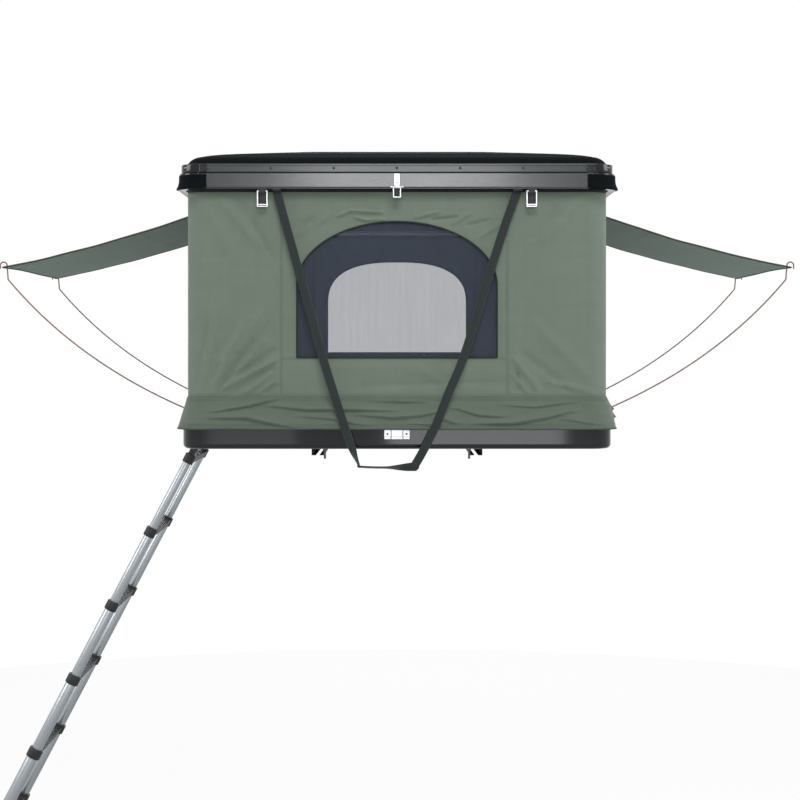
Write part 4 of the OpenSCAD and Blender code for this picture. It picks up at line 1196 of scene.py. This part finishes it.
def round_tent(share):
    """Point and outward way on the canvas outline, by the share of the way round it."""
    r = sizes().cloth_radius
    fx, fy, arc = CLOTH_X - r, CLOTH_Y - r, r * math.pi / 2
    legs = [2 * fx, arc, 2 * fy, arc, 2 * fx, arc, 2 * fy, arc]
    s = share % 1.0 * sum(legs)
    corners = [(fx, -fy, -90), (fx, fy, 0), (-fx, fy, 90), (-fx, -fy, 180)]
    starts = [(-fx, -CLOTH_Y, 1, 0), (CLOTH_X, -fy, 0, 1), (fx, CLOTH_Y, -1, 0), (-CLOTH_X, fy, 0, -1)]
    for i in range(4):
        if s <= legs[2 * i]:
            x, y, dx, dy = starts[i]
            return Vector((x + dx * s, y + dy * s, 0)), Vector((dy, -dx, 0))
        s -= legs[2 * i]
        if s <= legs[2 * i + 1] or i == 3:
            a = math.radians(corners[i][2]) + s / r
            way = Vector((math.cos(a), math.sin(a), 0))
            return Vector((corners[i][0], corners[i][1], 0)) + way * r, way
        s -= legs[2 * i + 1]


SKIRT_FOLDS = (
    (((-0.573, 0.146), (-0.470, 0.164), (-0.370, 0.188)), 0.9),
    (((-0.573, 0.1255), (-0.476, 0.1277), (-0.3956, 0.111), (-0.3355, 0.0975)), 1.0),
    (((-0.3956, 0.163), (-0.289, 0.153), (-0.149, 0.153), (-0.017, 0.148)), 1.0),
    (((-0.300, 0.131), (-0.190, 0.121), (-0.110, 0.104)), 0.6),
    (((-0.114, 0.135), (-0.013, 0.128), (0.073, 0.1335), (0.120, 0.142)), 0.9),
    (((-0.067, 0.178), (0.073, 0.176)), 0.6),
    (((0.138, 0.125), (0.184, 0.110)), 0.7),
    (((0.189, 0.1556), (0.260, 0.135), (0.329, 0.130)), 0.8),
    (((0.249, 0.108), (0.365, 0.110), (0.476, 0.128), (0.552, 0.146)), 1.0),
    (((0.340, 0.166), (0.440, 0.160), (0.560, 0.176)), 0.6),
    (((0.060, 0.108), (0.130, 0.102)), 0.5),
    (((0.540, 0.120), (0.620, 0.108)), 0.5),
)
PLEAT, SKIRT_KEEP = 0.0135, 0.016  # height of a pleat, and what is left of the skirt under the closed lid


class TENT_OT_skirt(Piece):
    """Flared hem of the canvas over the tray, with pulled folds and a bound edge"""
    bl_idname = "tent.skirt"
    bl_label = "Skirt"

    def make(self):
        s = sizes()
        fx, fy = CLOTH_X - s.cloth_radius, CLOTH_Y - s.cloth_radius
        round_it = 4 * (fx + fy) + 2 * math.pi * s.cloth_radius
        tall = s.skirt_top - s.skirt_hem

        def place(u, v):
            p, way = round_tent(u)
            run = u % 1.0 * round_it
            z = s.skirt_hem + tall * (1 - v)
            flare = 0.0006 + s.skirt_flare * v ** 0.9
            front = way.y < -0.99
            if front:
                along = p.x
            elif abs(way.x) > 0.99:
                along = p.y * 0.62 + 0.05 * math.copysign(1, p.x)
            else:
                along = -p.x
            depth = sum(pleat(along, z, line, PLEAT * h) for line, h in SKIRT_FOLDS)
            depth += crumple(run, 1, z, 0.10, 0.0028) + crumple(run, 2, z * 3, 0.05, 0.0010)
            depth *= min(1, v / 0.12) * min(1, (1.06 - v) / 0.2)
            seam = 0
            if front:
                seam = max(0, front_fold(p.x, s.skirt_top + 0.004)) * (1 - v) ** 2
                flare -= 0.0075 * v * math.exp(-(p.x / 0.032) ** 2)
            lift = 0.0016 * noise.noise(Vector((run * 7, 1, 0))) * v
            spot = p + way * (flare + depth + seam + 0.0012)
            return Vector((spot.x, spot.y, z + lift))
        bm = stitched(mapped_grid(1300, 42, place))
        bmesh.ops.reverse_faces(bm, faces=bm.faces)
        seams = ((2, 0.183, 0, -3.0, 3.0), (2, 0.101, 0, -3.0, 3.0))
        # painted shade: the skirt's canvas is darkened by its tone
        cloth = canvas("skirt_canvas", 0, seams, (0.72, 0.73, 0.71))
        skirt = publish(bm, "skirt_cloth", cloth, "base", ["skirt"])
        squash_wall(skirt)
        hem = publish(tube([place(i / 700, 1.0) for i in range(700)], s.hem_bead, True), "skirt_hem",
                      bound_edge("hem_tape", 0.3), "base", ())
        squash_wall(hem)


STRAP_ROUTE = (
    (-0.381, 0.8427, 0.015), (-0.336, 0.680, 0.018), (-0.240, 0.336, 0.024), (-0.198, 0.200, 0.0363),
    (-0.163, 0.092, 0.0393), (-0.124, -0.014, 0.0413), (-0.106, -0.029, 0.0413), (0.040, -0.029, 0.0413),
    (0.062, -0.014, 0.0413), (0.118, 0.092, 0.0393), (0.161, 0.200, 0.0363), (0.217, 0.336, 0.024),
    (0.324, 0.680, 0.018), (0.381, 0.8427, 0.015),
)
STRAP_CUT, STRAP_TWIST = 0.8426, math.radians(76)  # height at the lip, and the turn at the foot of the loop


class TENT_OT_strap(Piece):
    """Pull strap: one woven loop from lip to lip"""
    bl_idname = "tent.strap"
    bl_label = "Pull strap"

    def make(self):
        s = sizes()
        line = eased(STRAP_ROUTE, 14)
        far = [0.0]
        for a, b in zip(line, line[1:]):
            far.append(far[-1] + (b - a).length)

        def place(u, v):
            i = min(len(line) - 1, round(v * (len(line) - 1)))
            before, after = line[max(i - 1, 0)], line[min(i + 1, len(line) - 1)]
            way = Vector((after.x - before.x, after.y - before.y)).normalized()
            share = far[i] / far[-1]
            turn = STRAP_TWIST * rise(share, 0.40, 0.45) * (1 - rise(share, 0.49, 0.55))
            off = (0.5 - u) * s.strap_width
            h, deep = off * math.cos(turn), off * math.sin(turn)
            cup = 0.0010 * math.cos(math.pi * (u - 0.5)) + crumple(i * 0.05, u, 0, 0.6, 0.0012)
            z = min(line[i].y + way.x * h, STRAP_CUT)
            return Vector((line[i].x - way.y * h, -CLOTH_Y - line[i].z - cup - deep, z))
        bm = mapped_grid(6, len(line) - 1, place)
        uv = bm.loops.layers.uv.verify()
        for face in bm.faces:
            for corner in face.loops:
                corner[uv].uv.y *= far[-1]
        bmesh.ops.recalc_face_normals(bm, faces=bm.faces)
        strap = publish(bm, "pull_strap_web", webbing(), "lid", ["pull_strap"])
        modify(strap, "SOLIDIFY", thickness=s.strap_wall, offset=0)
        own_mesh(strap)


EYELETS = ((0.0137, 0.984), (0.9863, 0.984))  # shares of an awning's width and reach
EYELET_RADIUS, EYELET_WIRE, BINDING_RADIUS = 0.0065, 0.0016, 0.0032


class TENT_OT_awnings(Piece):
    """Side awnings with sagging cloth, bound edges and eyelets for the rods"""
    bl_idname = "tent.awnings"
    bl_label = "Awnings"

    def make(self):
        s = sizes()
        root = CLOTH_X + 0.0003
        half = side_of("awning_right", 1, 1)
        seams = ((0, 0.9, 1, -0.43, 0.43), (0, -0.9, 1, -0.43, 0.43))
        # painted light: the awnings' canvas is brightened and cooled by its tone
        cloth = canvas("awning_canvas", 1, seams, (1.06, 1.18, 1.22))
        tape = bound_edge("awning_tape", 0.28)
        for name, way in (("left", -1), ("right", 1)):
            body = name + "_awning"

            def place(u, t, way=way):
                y = (2 * u - 1) * half
                pull = 1 - (2 * u - 1) ** 2
                x = root + s.awning_reach * t - 0.022 * pull * t ** 3
                z = HINGE_Z - s.awning_fall * t - s.awning_sag * 4 * t * (1 - t) * (0.75 + 0.5 * pull)
                creases = crumple(t * 0.9, y, way, 0.16, 0.003) * min(1, 8 * t * (1 - t))
                z += creases + 0.0015 * math.sin(y * 9 + t * 4)
                narrow = 1 - 0.018 * math.sin(math.pi * t)
                return Vector((way * x, y * narrow, z))
            bm = mapped_grid(90, 76, place)
            bmesh.ops.recalc_face_normals(bm, faces=bm.faces)
            awning = publish(bm, "awning_%s_cloth" % name, cloth, body, ["awning_" + name])
            modify(awning, "SOLIDIFY", thickness=0.0016, offset=0)
            line = [place(0, i / 60) for i in range(61)] + [place(i / 60, 1) for i in range(1, 61)]
            line += [place(1, 1 - i / 60) for i in range(1, 61)]
            bead = publish(tube(line, BINDING_RADIUS), "awning_binding_" + name, tape, body, ())
            rims = []
            for spot in EYELETS:
                eye = place(*spot)
                rims.append(tube([eye + Vector((EYELET_RADIUS * math.cos(a), EYELET_RADIUS * math.sin(a), 0))
                                  for a in (2 * math.pi * i / 24 for i in range(24))], EYELET_WIRE, True))
            eyelets = publish(joined(*rims), "awning_eyelets_" + name,
                              metal("eyelet_steel", "steel", (0.0, 0.0, 0.0), 0.25), body, ())
            for piece in (awning, bead, eyelets):
                squash_awning(piece, way)


QUILT = 0.16  # pitch of the headliner's quilting


class TENT_OT_bed(Piece):
    """Mattress with a sewn border, and the quilted headliner"""
    bl_idname = "tent.bed"
    bl_label = "Mattress and headliner"

    def make(self):
        low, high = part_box("mattress")
        bm = bmesh.new()
        bmesh.ops.create_cube(bm, size=1.0)
        bmesh.ops.subdivide_edges(bm, edges=bm.edges, cuts=44, use_grid_fill=True)
        size, centre = high - low, (high + low) / 2
        for v in bm.verts:
            u, w, t = v.co.x * 2, v.co.y * 2, v.co.z * 2
            crown = (1 - abs(u) ** 8) * (1 - abs(w) ** 10)
            tuft = math.cos(u * 5 * math.pi) * math.cos(w * 8 * math.pi)
            z = t * size.z * (0.40 + 0.10 * crown) - (0.0022 * (1 - tuft) * crown if t > 0.5 else 0)
            pull = 1 - 0.010 * (1 - w * w)
            v.co = Vector((u * size.x / 2 * pull * (1 - 0.008 * t * t), w * size.y / 2 * (1 - 0.006 * t * t),
                           max(z, -size.z / 2)))
        bmesh.ops.translate(bm, verts=bm.verts, vec=centre)
        pad = publish(bm, "mattress_pad", quilt("ticking", "ticking"), "base", ["mattress"])
        low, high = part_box("headliner")

        def place(u, v):
            x, y = (u - 0.5) * (high.x - low.x - 0.004), (v - 0.5) * (high.y - low.y - 0.004)
            bulge = abs(math.sin(x * math.pi / QUILT)) * abs(math.sin(y * math.pi / QUILT))
            return Vector((x, y, low.z + 0.0030 - 0.0030 * bulge ** 0.5))
        bm = mapped_grid(168, 240, place)
        bmesh.ops.reverse_faces(bm, faces=bm.faces)
        lining = publish(bm, "headliner_quilt", quilt("headliner_felt", "felt"), "lid", ["headliner"])
        modify(lining, "SOLIDIFY", thickness=0.0028, offset=-1)


class TENT_OT_stage(Piece):
    """Pale floor, soft studio light and the camera"""
    bl_idname = "tent.stage"
    bl_label = "Stage"

    def make(self):
        scene = bpy.context.scene
        scene.view_settings.view_transform = "Standard"
        bm = bmesh.new()
        bmesh.ops.create_circle(bm, cap_ends=True, segments=96, radius=6.2)
        bmesh.ops.translate(bm, verts=bm.verts, vec=(0, 0, FLOOR_Z - 0.001))
        mesh = bpy.data.meshes.new("stage_floor")
        bm.to_mesh(mesh)
        bm.free()
        floor = bpy.data.objects.new("stage_floor", mesh)
        scene.collection.objects.link(floor)
        p = Paint("stage_floor", {"Roughness": 0.8, "Specular IOR Level": 0.1,
                                  "Base Color": (*finishes().floor, 1)})
        seen = p.node("ShaderNodeLightPath")
        glow = p.node("ShaderNodeEmission", {}, {"Color": (1, 1, 1, 1), "Strength": 1.0})
        both = p.node("ShaderNodeMixShader", {}, {0: seen * 0.92, 1: Value(p, p.shader.outputs[0]), 2: glow})
        p.feed(p.tree.nodes["Material Output"].inputs[0], both)
        mesh.materials.append(p.material)

        world = bpy.data.worlds.new("studio")
        scene.world = world
        world.use_nodes = True
        sky = Nodes(world.node_tree)
        sky.tree.nodes.clear()
        camera, through, shine = (sky.node("ShaderNodeLightPath", output="Is %s Ray" % kind)
                                  for kind in ("Camera", "Transmission", "Glossy"))
        soft = sky.node("ShaderNodeBackground", {}, {"Color": (0.95, 0.985, 1.0, 1), "Strength": 0.24})
        white = sky.node("ShaderNodeBackground", {}, {"Color": (1, 1, 1, 1), "Strength": 1.0})
        both = sky.node("ShaderNodeMixShader", {}, {0: camera.most(through).most(shine), 1: soft, 2: white})
        sky.feed(sky.tree.nodes.new("ShaderNodeOutputWorld").inputs[0], both)

        cool = (0.97, 0.99, 1.0)
        for name, place, aim, wide, high, power in (
                ("front_panel", (0.03, -8.5, 1.7), (0.03, 0, 1.7), 1.7, 1.5, 116),
                ("key_box", (0.9, -5.2, 5.2), (0, -0.9, 0.5), 3.2, 2.2, 226),
                ("left_box", (-5.6, -2.2, 1.9), (0, -0.8, 0.5), 2.4, 2.6, 110),
                ("right_box", (5.6, -2.2, 1.9), (0, -0.8, 0.5), 2.4, 2.6, 120),
                ("low_left", (-1.64, -8.5, -0.35), (-1.64, 0, -0.35), 1.0, 1.0, 3.6),
                ("low_right", (0.90, -8.5, -0.35), (0.90, 0, -0.35), 2.0, 1.0, 29),
                ("top_box", (0.0, 1.0, 5.4), (0, 0.3, 0.6), 3.0, 3.0, 70),
                ("rear_box", (0.0, 7.5, 3.2), (0, 0.5, 0.6), 4.0, 2.4, 220)):
            lamp = bpy.data.lights.new(name, "AREA")
            lamp.shape, lamp.size, lamp.size_y, lamp.energy, lamp.color = "RECTANGLE", wide, high, power, cool
            light = bpy.data.objects.new(name, lamp)
            light.location = place
            light.rotation_euler = (Vector(aim) - Vector(place)).to_track_quat("-Z", "Y").to_euler()
            scene.collection.objects.link(light)

        lens = bpy.data.cameras.new("camera")
        lens.sensor_width, lens.lens = 36.0, 71.0
        lens.shift_x, lens.shift_y = 0.00375, -0.06125
        camera = bpy.data.objects.new("camera", lens)
        camera.location = (0.0, -6.03, 0.336)
        camera.rotation_euler = (math.pi / 2, 0, 0)
        scene.collection.objects.link(camera)
        scene.camera = camera


class TENT_PT_panel(bpy.types.Panel):
    """Lists the pieces of the tent"""
    bl_idname = "TENT_PT_panel"
    bl_label = "Roof top tent"
    bl_space_type = "VIEW_3D"
    bl_region_type = "UI"
    bl_category = "Tent"

    def draw(self, context):
        for maker in MAKERS:
            self.layout.operator(maker.bl_idname)
        for group in (context.scene.tent_sizes, context.scene.tent_finishes):
            box = self.layout.box()
            for key in group.__annotations__:
                box.prop(group, key)


MAKERS = (TENT_OT_stage, TENT_OT_shells, TENT_OT_trim, TENT_OT_guards, TENT_OT_latches, TENT_OT_struts,
          TENT_OT_ladder, TENT_OT_walls, TENT_OT_door, TENT_OT_skirt, TENT_OT_strap, TENT_OT_awnings,
          TENT_OT_bed)
CLASSES = (TentSizes, TentFinishes, *MAKERS, TENT_PT_panel)


def register():
    for made in CLASSES:
        bpy.utils.register_class(made)
    bpy.types.Scene.tent_sizes = bpy.props.PointerProperty(type=TentSizes)
    bpy.types.Scene.tent_finishes = bpy.props.PointerProperty(type=TentFinishes)


def unregister():
    del bpy.types.Scene.tent_finishes
    del bpy.types.Scene.tent_sizes
    for made in reversed(CLASSES):
        bpy.utils.unregister_class(made)


def main():
    register()
    for maker in MAKERS:
        group, call = maker.bl_idname.split(".")
        getattr(getattr(bpy.ops, group), call)()


if __name__ == "__main__":
    main()
